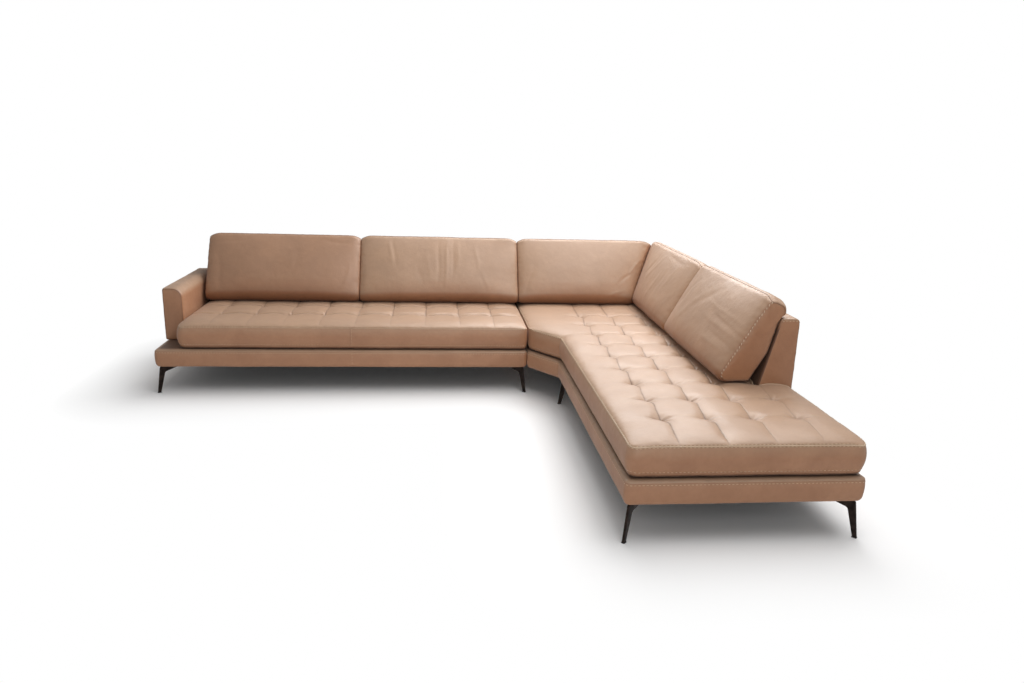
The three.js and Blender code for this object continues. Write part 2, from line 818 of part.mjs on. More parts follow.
// The chamfered edge of the cushion, between the seam and the chaise's inner side.
function seatChamferY(x) {
  const share = (x - chaiseSeat.left) / (chaiseSeat.seam - chaiseSeat.left);
  return chaiseSeat.chamfer + (seatFrontSet + seatSeamDraw - chaiseSeat.chamfer) * Math.max(share, 0);
}

const chaiseColumns = Array.from({ length: chaiseTuftColumns }, (_, tuft) => (
  chaiseOffset + chaiseTuftInset + chaiseTuftPitch * tuft));
const chaiseRows = Array.from({ length: chaiseTuftRows }, (_, tuft) => (
  -chaiseReach + chaiseTuftRowInset + tuftRowPitch * tuft));

// Distance from a point to the cushion's nearest open edge, negative outside.
function chaiseOpenDistance(x, y) {
  const run = chaiseSeat.left - chaiseSeat.seam;
  const slant = Math.hypot(run, seatChamferY(chaiseSeat.seam) - chaiseSeat.chamfer);
  const fromChamfer = (y - seatChamferY(Math.min(x, chaiseSeat.left))) * (run / slant);
  const left = y < chaiseSeat.chamfer
    ? x - chaiseSeat.left
    : Math.hypot(Math.max(x - chaiseSeat.left, 0), Math.max(fromChamfer, 0));
  const seam = y > 0 ? x - chaiseSeat.seam : left;
  const right = y < chaiseSeat.step ? chaiseSeat.right - x : left;
  return Math.min(left, seam, right, y - chaiseSeat.front);
}

const chaiseSeatCorners = [
  { x: chaiseSeat.left, y: chaiseSeat.front, inX: 1, inY: 1 },
  { x: chaiseSeat.right, y: chaiseSeat.front, inX: -1, inY: 1 },
];

// Plan lines of the chaise cushion: those right of its inner side, then two in the corner.
function chaiseColumnLines() {
  const inner = chaiseTuftInset - (chaiseSeat.left - chaiseOffset);
  const lines = tuftLines(chaiseSeat.left, chaiseSeat.right, inner, chaiseTuftPitch, chaiseTuftColumns);
  const middle = (chaiseSeat.seam + chaiseSeat.left) / 2;
  return [chaiseSeat.seam, middle, ...snapLine(lines, chaiseSeat.narrow)];
}

function chaiseRowLines() {
  const first = chaiseTuftRowInset - (chaiseSeat.front + chaiseReach);
  const lines = tuftLines(chaiseSeat.front, chaiseSeat.back, first, tuftRowPitch, chaiseTuftRows);
  return snapLine(snapLine(lines, chaiseSeat.step), chaiseSeat.chamfer);
}

// Corner nodes slide forward with the chamfer, in proportion to their distance from the back.
function placeInCorner(x, y) {
  if (x >= chaiseSeat.left || y < chaiseSeat.chamfer) {
    return eased(x, y, chaiseSeatCorners);
  }
  const share = (y - chaiseSeat.chamfer) / (chaiseSeat.back - chaiseSeat.chamfer);
  const start = seatChamferY(x);
  return { x, y: start + (chaiseSeat.back - start) * share };
}

const tuftedFrom = chaiseOffset + chaiseTuftInset / 2;

addPiece(chaise, 'chaise_seat_cushion', seatCushion(chaiseColumnLines(), chaiseRowLines(), {
  place: placeInCorner,
  exists: (x, y) => (x > chaiseSeat.left || y > chaiseSeat.chamfer)
    && (x < chaiseSeat.narrow || y < chaiseSeat.step),
  heightAt: (x, y) => {
    const share = crownShare(chaiseOpenDistance(x, y));
    const dip = tuftDip(x, y, chaiseColumns, chaiseRows, (tuftX) => tuftX > tuftedFrom);
    return seatUpperSeamZ + seatCrown * share - dip * share;
  },
}), 'leather');

// Back panels and back cushions share a frame: X along the panel, Y its depth from the seat front

// The panel's inner face at a height, for a module of a given depth.
function panelInner(depth, z) {
  const share = Math.min(Math.max((z - panelKneeZ) / (panelTopZ - panelKneeZ), 0), 1);
  return depth - panelFoot + (panelFoot - panelTop) * share;
}

function panelSection(depth) {
  return [
    corner(depth - panelFoot, panelFootZ, panelEdgeRadius),
    corner(depth, panelFootZ, panelEdgeRadius),
    corner(depth, panelTopZ, panelEdgeRadius),
    corner(depth - panelTop, panelTopZ, panelEdgeRadius),
    corner(depth - panelFoot, panelKneeZ),
  ];
}

// The hollow of a panel, open below for its timber frame.
function panelHollowSection(depth) {
  const inner = insetOutline(panelSection(depth), panelWall).map((point) => ({ ...point, radius: 0 }));
  inner[0].y = panelFootZ - cutOverrun;
  inner[1].y = panelFootZ - cutOverrun;
  return inner;
}

// Rings of sections along X. Each station places a point along X by its depth and its height.
function sweepRings(stations) {
  return stations.map(({ section, along, shape }) => drawOutline(section).map((point) => {
    const shaped = shape ? shape(point) : point;
    return new THREE.Vector3(along(point.x, point.y), shaped.x, shaped.y);
  }));
}

function sweep(stations) {
  return loft(sweepRings(stations), (point) => new THREE.Vector2(point.y, point.z));
}

// A padded panel from start to end, with soft ends. Each end may be mitred along its depth.
function panelCover(depth, start, end) {
  const ease = (inset) => insetOutline(panelSection(depth), inset);
  const body = sweep([
    { section: ease(panelEndRound), along: (y) => start(y) },
    { section: ease(0), along: (y) => start(y) + panelEndRound },
    { section: ease(0), along: (y) => end(y) - panelEndRound },
    { section: ease(panelEndRound), along: (y) => end(y) },
  ]);
  const hollow = sweep([
    { section: panelHollowSection(depth), along: (y) => start(y) + panelWall },
    { section: panelHollowSection(depth), along: (y) => end(y) - panelWall },
  ]);
  return cut(body, [hollow]);
}

// An upright timber board with bays between its posts, standing on the platform's rail.
function panelBoard(depth, [start, end]) {
  const [front, back] = boardFaces(depth);
  const top = panelTopZ - panelWall - seatedGap;
  const spans = boardSpans([start, end]);
  const between = spans.slice(1).map(([from], index) => [spans[index][1], from]);
  const opening = ([from, to], bottom, upper) => block(
    from,
    front - cutOverrun,
    bottom,
    to,
    back + cutOverrun,
    upper,
  );
  return cut(block(start, front, boardBottomZ, end, back, top), between.flatMap((span) => [
    opening(span, boardBottomZ - cutOverrun, panelFootZ + seatedGap),
    opening(span, panelFootZ + boardRail, top - boardRail),
  ]));
}

const wingPanelStart = -wingLength + armWidth + seatedGap;
const wingPanelEnd = -moduleGap / 2;

addPiece(wing, 'wing_back_cover', panelCover(
  moduleDepth,
  () => wingPanelStart,
  () => wingPanelEnd,
), 'leather');
addPiece(wing, 'wing_back_board', panelBoard(moduleDepth, wingBoardSpan), 'timber');

// The corner panel and the side panel meet in a mitre that runs in from the outer corner.
const mitreGap = seatedGap / 2;
addPiece(chaise, 'corner_back_cover', panelCover(
  moduleDepth,
  () => moduleGap / 2,
  (y) => chaiseOuter - (moduleDepth - y) - mitreGap,
), 'leather');
addPiece(chaise, 'corner_back_board', panelBoard(moduleDepth, cornerBoardSpan), 'timber');

// The side row runs along -Y, so its own X points forwards and its own Y points right.
const sideRow = new THREE.Group();
sideRow.position.set(chaiseOffset, 0, 0);
sideRow.rotation.z = -Math.PI / 2;
chaise.add(sideRow);

addPiece(sideRow, 'side_back_cover', panelCover(
  chaiseWidth,
  (y) => -moduleDepth + (chaiseWidth - y) + mitreGap,
  () => sideBackReach,
), 'leather');
addPiece(sideRow, 'side_back_board', panelBoard(chaiseWidth, sideBoardSpan), 'timber');

// Arm

const armOutline = [
  corner(-wingLength, panelFootZ, armOuterRadius),
  corner(-wingLength + armWidth, panelFootZ, armOuterRadius),
  corner(-wingLength + armWidth, platformTopZ + armHeight, armInnerRadius),
  corner(-wingLength, platformTopZ + armHeight, armOuterRadius),
];

// A solid with an upright section across X, from one depth to another.
function acrossSweep(stations) {
  const rings = stations.map(({ section, y }) => drawOutline(section)
    .map((point) => new THREE.Vector3(point.x, y, point.y)));
  return loft(rings, (point) => new THREE.Vector2(point.x, point.z));
}

function armCover() {
  const body = acrossSweep([
    { section: insetOutline(armOutline, panelEndRound), y: armFrontSet },
    { section: armOutline, y: armFrontSet + panelEndRound },
    { section: armOutline, y: moduleDepth - panelEndRound },
    { section: insetOutline(armOutline, panelEndRound), y: moduleDepth },
  ]);
  const hollow = block(
    -wingLength + armWall,
    armFrontSet + armWall,
    panelFootZ - cutOverrun,
    -wingLength + armWidth - armWall,
    moduleDepth - armWall,
    platformTopZ + armHeight - armInnerRadius / 2,
  );
  return cut(body, [hollow]);
}

function armBoard() {
  const [left, right] = armBoardFaces;
  const [front, back] = armBoardSpan;
  const top = platformTopZ + armHeight - armInnerRadius / 2 - seatedGap;
  const opening = (bottom, upper) => block(
    left - cutOverrun,
    front + armBoardRail,
    bottom,
    right + cutOverrun,
    back - armBoardRail,
    upper,
  );
  return cut(block(left, front, boardBottomZ, right, back, top), [
    opening(boardBottomZ - cutOverrun, panelFootZ + seatedGap),
    opening(panelFootZ + armBoardRail, top - armBoardRail),
  ]);
}

addPiece(wing, 'arm_cover', armCover(), 'leather');
addPiece(wing, 'arm_board', armBoard(), 'timber');

// Back cushions

// Each row's depth and the gap it leaves between a cushion's foot and the panel's
const wingBacks = { depth: moduleDepth, wedge: wingWedgeGap };
const sideBacks = { depth: chaiseWidth, wedge: sideWedgeGap };

// Where the front of a back cushion's foot stands, behind the front of its row.
function seatDepth({ depth, wedge }) {
  return depth - panelFoot - wedge - cushionFoot;
}

// The cushion's cross-section: up its leaning face, over its top and down along the panel.
function cushionSection(row, footShift) {
  const { depth } = row;
  const foot = seatDepth(row) + footShift;
  const faceTop = seatDepth(row) + cushionLean;
  const faceTopZ = cushionFootZ + cushionRise;
  const back = panelInner(depth, panelTopZ) + cushionOverhang;
  const shoulderZ = panelTopZ + cushionShoulder;
  const contactZ = cushionFootZ + cushionContactHeight;
  const footBack = seatDepth(row) + cushionFoot;
  return [
    corner(foot, cushionFootZ, cushionFootRadius),
    corner(footBack, cushionFootZ, cushionFootRadius),
    corner(panelInner(depth, contactZ) - seatedGap, contactZ),
    corner(panelInner(depth, panelTopZ) - seatedGap, panelTopZ + seatedGap),
    corner(back, shoulderZ, cushionSeamRadius),
    corner(back, shoulderZ + cushionBackHeight, cushionBackRadius),
    corner(faceTop + cushionApexRun, faceTopZ + cushionDome),
    corner(faceTop, faceTopZ, cushionSeamRadius, cushionFaceSplits),
  ];
}

// Pushes a point of the section out of the leaning face, most at the middle of the face.
function crownedPoint(point, foot, along) {
  const length = Math.hypot(cushionLean, cushionRise);
  const outX = -cushionRise / length;
  const outZ = cushionLean / length;
  const behind = (foot - point.x) * outX + (cushionFootZ - point.y) * outZ;
  const nearFace = Math.max(1 - behind / cushionCrownReach, 0);
  const up = Math.min(Math.max((point.y - cushionFootZ) / cushionRise, 0), 1);
  const swell = (share) => 1 - Math.abs(share + share - 1) ** crownPower;
  const push = cushionFaceCrown * nearFace * swell(up) * swell(along);
  return new THREE.Vector2(point.x + outX * push, point.y + outZ * push);
}

// A closed solid through rings whose ends are each a fan of triangles round a middle point.
function fannedLoft(rings) {
  const pointCount = rings[0].length;
  const indices = ringTriangles(rings.length, pointCount);
  const middles = [rings[0], rings[rings.length - 1]].map((ring) => ring
    .reduce((sum, point) => sum.add(point), new THREE.Vector3()).divideScalar(pointCount));
  const firstMiddle = rings.length * pointCount;
  const lastRing = firstMiddle - pointCount;
  for (let side = 0; side < pointCount; side += 1) {
    const next = (side + 1) % pointCount;
    indices.push(next, side, firstMiddle);
    indices.push(lastRing + side, lastRing + next, firstMiddle + 1);
  }
  return skin([...rings.flat(), ...middles], indices);
}

// A cushion between two ends, each given for a depth and a height, with its ends drawn in.
function backCushion(row, start, end, footDrift = () => 0) {
  const stationAt = (share, fromStart, fromEnd, inset) => {
    const section = insetOutline(cushionSection(row, footDrift(share)), inset);
    return {
      section,
      along: (y, z) => {
        const [first, last] = [start(y, z) + fromStart, end(y, z) - fromEnd];
        return first + (last - first) * share;
      },
      shape: (point) => crownedPoint(point, seatDepth(row) + footDrift(share), share),
    };
  };
  return fannedLoft(sweepRings([
    stationAt(0, 0, 0, cushionEndDraw),
    stationAt(0, cushionEndRun, 0, 0),
    ...cushionStationShares.map((share) => stationAt(share, 0, 0, 0)),
    stationAt(1, 0, cushionEndRun, 0),
    stationAt(1, 0, 0, cushionEndDraw),
  ]));
}

const outerCushionStart = -wingLength + armWidth + armSideGap;
const outerCushionEnd = outerCushionStart + outerCushionLength;
const halfSideGap = cushionSideGap / 2;

addPiece(wing, 'back_cushion_outer', backCushion(
  wingBacks,
  () => outerCushionStart,
  () => outerCushionEnd - halfSideGap,
), 'leather');
addPiece(wing, 'back_cushion_inner', backCushion(
  wingBacks,
  () => outerCushionEnd + halfSideGap,
  () => -halfSideGap,
), 'leather');

// The valley where the corner cushion meets the side cushions: it runs back and right from the
// cushions' feet, less steeply sideways than a true mitre.
const valleyX = chaiseOffset + seatDepth(sideBacks) + cornerFootDrift;
const valleyY = seatDepth(wingBacks);

addPiece(chaise, 'back_cushion_corner', backCushion(
  wingBacks,
  () => halfSideGap,
  (y) => valleyX + (y - valleyY) * valleyShare - halfSideGap,
), 'leather');

// The first side cushion starts at the valley, and at the corner panel where that is nearer.
function sideStart(y, z) {
  const valley = valleyY + (chaiseOffset + y - valleyX) / valleyShare - halfSideGap;
  return -Math.min(valley, panelInner(moduleDepth, z) - seatedGap);
}

addPiece(sideRow, 'back_cushion_side_inner', backCushion(
  sideBacks,
  sideStart,
  () => innerSideCushionReach - halfSideGap,
  (share) => cornerFootDrift * (1 - share / 2),
), 'leather');
addPiece(sideRow, 'back_cushion_side_outer', backCushion(
  sideBacks,
  () => innerSideCushionReach + halfSideGap,
  () => sideBackReach,
  (share) => cornerFootDrift * (1 - share) / 2,
), 'leather');

// Legs, their glides and the bolts

// A foot pad under a blade, as wide as the tip and a little more.
function glideGeometry() {
  const halfLength = legTipWidth / 2 + glideMargin;
  const halfWidth = legBladeThickness / 2 + glideMargin;
  return block(-halfLength, -halfWidth, 0, halfLength, halfWidth, glideHeight - seatedGap);
}

const flangeBottomZ = bladeTop - flangeThickness - seatedGap;
const legShape = legGeometry();
legs.forEach((leg) => {
  addPiece(sofa, leg.name, legShape.clone(), 'bronze').applyMatrix4(legMatrix(leg));
  addPiece(sofa, `${leg.name}_glide`, glideGeometry(), 'plastic').applyMatrix4(legMatrix(leg));
  addPiece(sofa, `${leg.name}_bolt`, boltGeometry(legBoltPoint(leg), flangeBottomZ), 'steel');
});

joiningPlates.forEach(({ name, line }) => {
  const points = modules.map(({ side }) => joiningBoltPoint(line, side));
  const plate = block(
    -joiningPlateLength / 2,
    line - joiningPlateWidth / 2,
    joiningPlateTop - joiningPlateThickness,
    joiningPlateLength / 2,
    line + joiningPlateWidth / 2,
    joiningPlateTop,
  );
  addPiece(sofa, name, cut(plate, points.map(boltHole)), 'steel');
  const bearing = joiningPlateTop - joiningPlateThickness - seatedGap;
  points.forEach((point, index) => {
    addPiece(sofa, `${name}_${modules[index].name}_bolt`, boltGeometry(point, bearing), 'steel');
  });
});

// The origin is on the floor, under the middle of the whole sofa.
sofa.position.set((wingLength - chaiseOuter) / 2, (chaiseReach - moduleDepth) / 2, 0);

export default sofa;
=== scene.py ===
"""Looks of the leather corner sofa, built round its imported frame.

Lengths are metres in the sofa's own frame: X runs right along the wing, Y runs to the back and
Z runs up. The origin is on the floor, under the middle of the sofa.
"""

import logging
import math
from collections.abc import Callable, Sequence
from dataclasses import dataclass, field
from enum import Enum

import bmesh
import bpy
import numpy as np
from mathutils import Matrix, Vector
from mathutils.bvhtree import BVHTree


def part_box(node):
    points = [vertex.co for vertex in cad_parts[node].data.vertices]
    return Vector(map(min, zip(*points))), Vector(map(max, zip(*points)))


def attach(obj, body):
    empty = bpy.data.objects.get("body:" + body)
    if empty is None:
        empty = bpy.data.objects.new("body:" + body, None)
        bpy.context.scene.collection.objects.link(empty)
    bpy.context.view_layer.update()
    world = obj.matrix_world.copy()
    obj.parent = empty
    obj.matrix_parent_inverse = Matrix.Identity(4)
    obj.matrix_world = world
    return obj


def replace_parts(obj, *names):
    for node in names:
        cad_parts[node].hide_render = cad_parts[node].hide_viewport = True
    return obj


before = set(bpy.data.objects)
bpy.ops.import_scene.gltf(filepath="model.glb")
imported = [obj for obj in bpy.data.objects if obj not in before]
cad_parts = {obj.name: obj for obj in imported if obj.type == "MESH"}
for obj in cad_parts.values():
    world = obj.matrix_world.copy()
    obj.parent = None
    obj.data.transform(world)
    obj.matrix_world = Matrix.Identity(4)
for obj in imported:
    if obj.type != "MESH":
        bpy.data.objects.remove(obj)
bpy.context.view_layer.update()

Array = np.ndarray
Rule = Callable[[Array, Array], Array]
Socket = bpy.types.NodeSocket
log = logging.getLogger("sofa")

BODY = "root"
WELD = 1e-5
LEAST_LENGTH = 1e-12
# Point attribute of painted shade: in seam grooves, tuft creases, gaps between pieces and at cushion feet.
PAINTED_SHADE = "crease"
# Point attribute of the normal's upward share, from which the leather paints a pale sheen on what faces
# up.
UPWARD = "upward"
GAP_SHADE = 0.95
WHITE = (1, 1, 1, 1)


# Numbers and shapes that every piece shares


def bell(distance: Array, reach: float) -> Array:
    """Returns a smooth bump: one at no distance, fading by the square of distance over reach."""
    return np.exp(-((distance / reach) ** 2))


def notch(distance: Array, reach: float) -> Array:
    """Returns a sharp notch: one at no distance, fading with distance over reach."""
    return np.exp(-np.abs(distance) / reach)


def ease(value: Array) -> Array:
    """Returns a value clipped to 0 and 1 and smoothed at both ends."""
    share = np.clip(value, 0.0, 1.0)
    return share * share * (3 - 2 * share)


def dome(distance: Array, run: float) -> Array:
    """Returns the height share of a quarter ellipse that rises from an edge over a run."""
    share = np.clip(distance / run, 0.0, 1.0)
    return np.sqrt(1 - (1 - share) ** 2)

def unit(vectors: Array) -> Array:
    """Returns vectors stretched to a length of one."""
    return vectors / np.maximum(np.linalg.norm(vectors, axis=-1, keepdims=True), LEAST_LENGTH)


def nearest(ring: Array, place: Sequence[float]) -> int:
    """Returns the index of the ring's point that is nearest to a place."""
    return int(np.argmin(np.linalg.norm(ring - np.array(place), axis=1)))


def level(at: float) -> Rule:
    """Returns the rule of a flat end, which stands at one place all over."""
    return lambda depth, height: at + 0 * depth


def cells_of(indices: Array) -> Array:
    """Returns the faces of a grid of points: four indices for each of its cells."""
    return np.stack([indices[:-1, :-1], indices[1:, :-1], indices[1:, 1:], indices[:-1, 1:]], axis=-1)


@dataclass
class Unevenness:
    """A smooth random field in space, the same on every run.

    Random values stand on a cubic lattice, and a point takes the blend of the eight round it.
    """

    seed: int
    size: int = 32
    lattice: Array = field(init=False)

    def __post_init__(self) -> None:
        """Draws the lattice's values."""
        draw = np.random.default_rng(self.seed)
        self.lattice = draw.uniform(-1, 1, (self.size,) * 3)

    def at(self, points: Array, wavelength: float) -> Array:
        """The field at points.

        Args:
            points: places, with three numbers last.
            wavelength: the lattice's pitch in metres.

        Returns:
            Values from -1 to 1.
        """
        scaled = points / wavelength
        base = np.floor(scaled).astype(int)
        blend = scaled - base
        blend = blend * blend * (3 - 2 * blend)
        total = np.zeros(points.shape[:-1])
        for corner in np.ndindex(2, 2, 2):
            cell = (base + corner) % self.size
            share = np.prod(np.where(corner, blend, 1 - blend), axis=-1)
            total += share * self.lattice[cell[..., 0], cell[..., 1], cell[..., 2]]
        return total


def graded_lines(
    start: float, end: float, creases: Sequence[float], coarse: float, near: Sequence[float]
) -> Array:
    """Grid lines that stand close together at both ends and at creases.

    Args:
        start: the first line.
        end: the last line.
        creases: places between them that need close lines on both sides.
        coarse: the widest gap.
        near: distances from an end or a crease at which lines stand.

    Returns:
        The lines, rising.
    """
    offsets = np.asarray(near)
    marks = [start + offsets, end - offsets]
    marks += [crease + offsets for crease in creases] + [crease - offsets for crease in creases]
    anchors = np.unique(np.round(np.concatenate(marks), 6))
    anchors = anchors[(anchors > start + WELD) & (anchors < end - WELD)]
    anchors = np.concatenate([[start], anchors, [end]])
    keep = np.concatenate([[True], np.diff(anchors) > 0.4 * near[1]])
    keep[-1] = True
    anchors = anchors[keep]
    lines = [anchors[:1]]
    for before, after in zip(anchors[:-1], anchors[1:]):
        count = max(1, math.ceil((after - before) / coarse))
        lines.append(np.linspace(before, after, count + 1)[1:])
    return np.concatenate(lines)


@dataclass(frozen=True)
class Corner:
    """A corner of an outline and the radius that rounds it."""

    x: float
    y: float
    radius: float


@dataclass
class RoundedOutline:
    """A closed outline, walked anticlockwise, with rounded corners.

    Each ring has the same number of points, so rings of several insets join into a surface.
    """

    corners: list[Corner]
    spacing: float
    arc_steps: int
    least_radius: float = 0.0005

    def ring(self, inset: float = 0.0) -> tuple[Array, Array]:
        """The outline moved inwards: straight sides between arcs that are tangent to them.

        Args:
            inset: how far the sides move inwards.

        Returns:
            The points and their outward normals, both of shape (count, 2).
        """
        places = np.array([(corner.x, corner.y) for corner in self.corners])
        arrive = unit(places - np.roll(places, 1, axis=0))
        leave = np.roll(arrive, -1, axis=0)
        side = np.stack([arrive[:, 1], -arrive[:, 0]], axis=1)
        after = np.stack([leave[:, 1], -leave[:, 0]], axis=1)
        turn = np.arctan2(
            arrive[:, 0] * leave[:, 1] - arrive[:, 1] * leave[:, 0], np.sum(arrive * leave, axis=1)
        )
        moved = places - (side + after) * (inset / (1 + np.sum(side * after, axis=1)))[:, None]
        sign = np.where(turn > 0, 1.0, -1.0)
        radii = np.array([corner.radius for corner in self.corners]) - sign * inset
        radii = np.maximum(radii, self.least_radius)
        back = radii * np.tan(np.abs(turn) / 2)
        centres = moved - arrive * back[:, None] - side * (sign * radii)[:, None]
        steps = np.linspace(0, 1, self.arc_steps + 1)
        angles = np.arctan2(side[:, 1], side[:, 0])[:, None] + turn[:, None] * steps
        normals = np.stack([np.cos(angles), np.sin(angles)], axis=2)
        arcs = centres[:, None] + normals * (sign * radii)[:, None, None]
        points, facing = [], []
        for index, count in enumerate(self._side_counts(places)):
            following = arcs[(index + 1) % len(arcs), 0]
            share = np.arange(1, count)[:, None] / count
            points += [arcs[index], arcs[index, -1] + (following - arcs[index, -1]) * share]
            facing += [normals[index], np.repeat(normals[index, -1:], count - 1, axis=0)]
        return np.concatenate(points), np.concatenate(facing)

    def _side_counts(self, places: Array) -> list[int]:
        """Returns how many steps each side takes, from its full length."""
        lengths = np.linalg.norm(np.roll(places, -1, axis=0) - places, axis=1)
        return [max(2, math.ceil(length / self.spacing)) for length in lengths]


def vertex_normals(points: Array, quads: Array) -> Array:
    """Normals at points: the sum of the cross products of the diagonals of the faces there.

    Args:
        points: the surface's points.
        quads: its faces, four indices each.

    Returns:
        One unit normal for each point.
    """
    a, b, c, d = (points[quads[:, side]] for side in range(4))
    facing = np.cross(c - a, d - b)
    total = np.zeros_like(points)
    for side in range(4):
        np.add.at(total, quads[:, side], facing)
    return unit(total)


def rework(mesh: bpy.types.Mesh, work: Callable[[bmesh.types.BMesh], object]) -> None:
    """Lets some work change a mesh in its editable form.

    Args:
        mesh: the mesh.
        work: what is done to it.
    """
    solid = bmesh.new()
    solid.from_mesh(mesh)
    work(solid)
    solid.to_mesh(mesh)
    solid.free()


class Skin:
    """The surface of one piece, gathered from patches that share their edges.

    Each point carries its distance to the nearest seam and its painted shade, from 0 to 1.
    """

    def __init__(self) -> None:
        """Starts an empty surface."""
        self.points: list[Array] = []
        self.seams: list[Array] = []
        self.creases: list[Array] = []
        self.quads: list[Array] = []
        self.caps: list[Array] = []
        self.count = 0

    def add(self, points: Array, seam: Array | float = 1.0, crease: Array | float = 0.0) -> Array:
        """Adds points.

        Args:
            points: places, in any grid shape.
            seam: each point's distance to its nearest seam.
            crease: each point's painted shade, from 0 to 1.

        Returns:
            The points' indices, in the shape of the grid.
        """
        shape = points.shape[:-1]
        self.points.append(points.reshape(-1, 3))
        self.seams.append(np.broadcast_to(seam, shape).reshape(-1))
        self.creases.append(np.broadcast_to(crease, shape).reshape(-1))
        indices = np.arange(self.count, self.count + int(np.prod(shape))).reshape(shape)
        self.count += indices.size
        return indices

    def sheet(self, indices: Array, closed: bool = False, keep: Array | None = None) -> None:
        """Adds the faces of a grid.

        Args:
            indices: the grid's points.
            closed: whether its second direction closes on itself.
            keep: which cells have a face.
        """
        if closed:
            indices = np.concatenate([indices, indices[:, :1]], axis=1)
        faces = cells_of(indices)
        self.quads.append(faces[keep] if keep is not None else faces.reshape(-1, 4))

    def merged(self) -> tuple[Array, Array, Array, Array, list[Array]]:
        """Joins the points that lie at the same place.

        Returns:
            Points, seam distances, painted shades, quads and caps.
        """
        points = np.concatenate(self.points)
        keys = np.round(points / WELD).astype(np.int64)
        _, first, inverse = np.unique(keys, axis=0, return_index=True, return_inverse=True)
        inverse = inverse.reshape(-1)
        seams = np.full(len(first), np.inf)
        np.minimum.at(seams, inverse, np.concatenate(self.seams))
        creases = np.concatenate(self.creases)[first]
        quads = inverse[np.concatenate(self.quads)]
        return points[first], seams, creases, quads, [inverse[cap] for cap in self.caps]

    def build(self, name: str, finish: "Finish", relief: "Relief | None" = None) -> bpy.types.Object:
        """Makes the piece: its points move along their normals by the relief.

        Args:
            name: the piece's name.
            finish: what it is made of.
            relief: how the leather lies, or None for a plain surface.

        Returns:
            The new object, which stands at the origin with its place in its mesh.
        """
        points, seams, creases, quads, caps = self.merged()
        a, b, c, d = (points[quads[:, side]] for side in range(4))
        if np.sum(a * np.cross(c - a, d - b)) < 0:
            quads = quads[:, ::-1]
        if relief is not None:
            points = points + vertex_normals(points, quads) * relief.depth(points, seams)[:, None]
            # Adds the painted shade in the seam grooves.
            creases = np.clip(creases + relief.shade(seams), 0, 1)
        mesh = bpy.data.meshes.new(name)
        faces = [list(dict.fromkeys(face)) for face in quads.tolist()]
        faces = [face for face in faces if len(face) > 2] + [cap.tolist() for cap in caps]
        mesh.from_pydata(points.tolist(), [], faces)
        # Writes the painted shade, and the upward share that the leather turns into a painted pale sheen.
        for key, share in ((PAINTED_SHADE, creases), (UPWARD, vertex_normals(points, quads)[:, 2])):
            values = mesh.attributes.new(key, "FLOAT", "POINT")
            values.data.foreach_set("value", share.astype(np.float32))
        rework(mesh, lambda solid: bmesh.ops.recalc_face_normals(solid, faces=solid.faces))
        mesh.shade_smooth()
        return placed(mesh, name, finish)


def stood(name: str, data: bpy.types.ID) -> bpy.types.Object:
    """Returns a new object of some data, linked to the scene."""
    made = bpy.data.objects.new(name, data)
    bpy.context.scene.collection.objects.link(made)
    return made


def placed(mesh: bpy.types.Mesh, name: str, finish: "Finish") -> bpy.types.Object:
    """Makes an object of a mesh, dresses it and lets it ride on the sofa.

    Args:
        mesh: the mesh, with its place in its points.
        name: the piece's name.
        finish: what it is made of.

    Returns:
        The new object.
    """
    piece = stood(name, mesh)
    mesh.materials.append(finish.material())
    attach(piece, BODY)
    log.info("%s: %d points, %d faces", name, len(mesh.vertices), len(mesh.polygons))
    return piece


@dataclass(frozen=True)
class Relief:
    """How upholstered leather departs from its plain form, along the surface's normal.

    Broad and fine unevenness, a groove at each seam and puckers that run out from the seam.
    """

    seed: int
    broad: float = 0.0012
    fine: float = 0.00035
    groove: float = 0.0013
    pucker: float = 0.0009
    groove_reach: float = 0.0022
    pucker_reach: float = 0.016
    broad_wave: float = 0.11
    fine_wave: float = 0.028
    pucker_wave: float = 0.017
    seam_shade: float = 0.25

    def depth(self, points: Array, seams: Array) -> Array:
        """The move of each point.

        Args:
            points: the surface's points.
            seams: their distances to the nearest seam.

        Returns:
            Metres outwards, below zero where the leather lies deeper.
        """
        uneven = Unevenness(self.seed)
        moved = self.broad * uneven.at(points, self.broad_wave)
        moved += self.fine * uneven.at(points + self.broad_wave, self.fine_wave)
        near = bell(seams - self.pucker_reach / 2, self.pucker_reach)
        moved += self.pucker * near * uneven.at(points - self.broad_wave, self.pucker_wave)
        return moved - self.groove * notch(seams, self.groove_reach)

    def shade(self, seams: Array) -> Array:
        """Returns the painted shade in the seam's groove, from 0 to 1."""
        return self.seam_shade * notch(seams, self.groove_reach)


# Finishes


def linear(code: str) -> tuple[float, float, float, float]:
    """Returns the linear colour of a hexadecimal display colour, with full opacity."""
    shares = [int(code[at : at + 2], 16) / 255 for at in (0, 2, 4)]
    lit = [s / 12.92 if s <= 0.04045 else ((s + 0.055) / 1.055) ** 2.4 for s in shares]
    return (*lit, 1.0)


@dataclass(frozen=True)
class Patches:
    """Cloudy patches by a noise: how fine and detailed they are, and which of its values count."""

    scale: float
    detail: float = 4.0
    distortion: float = 0.0
    low: float = 0.3
    high: float = 0.7


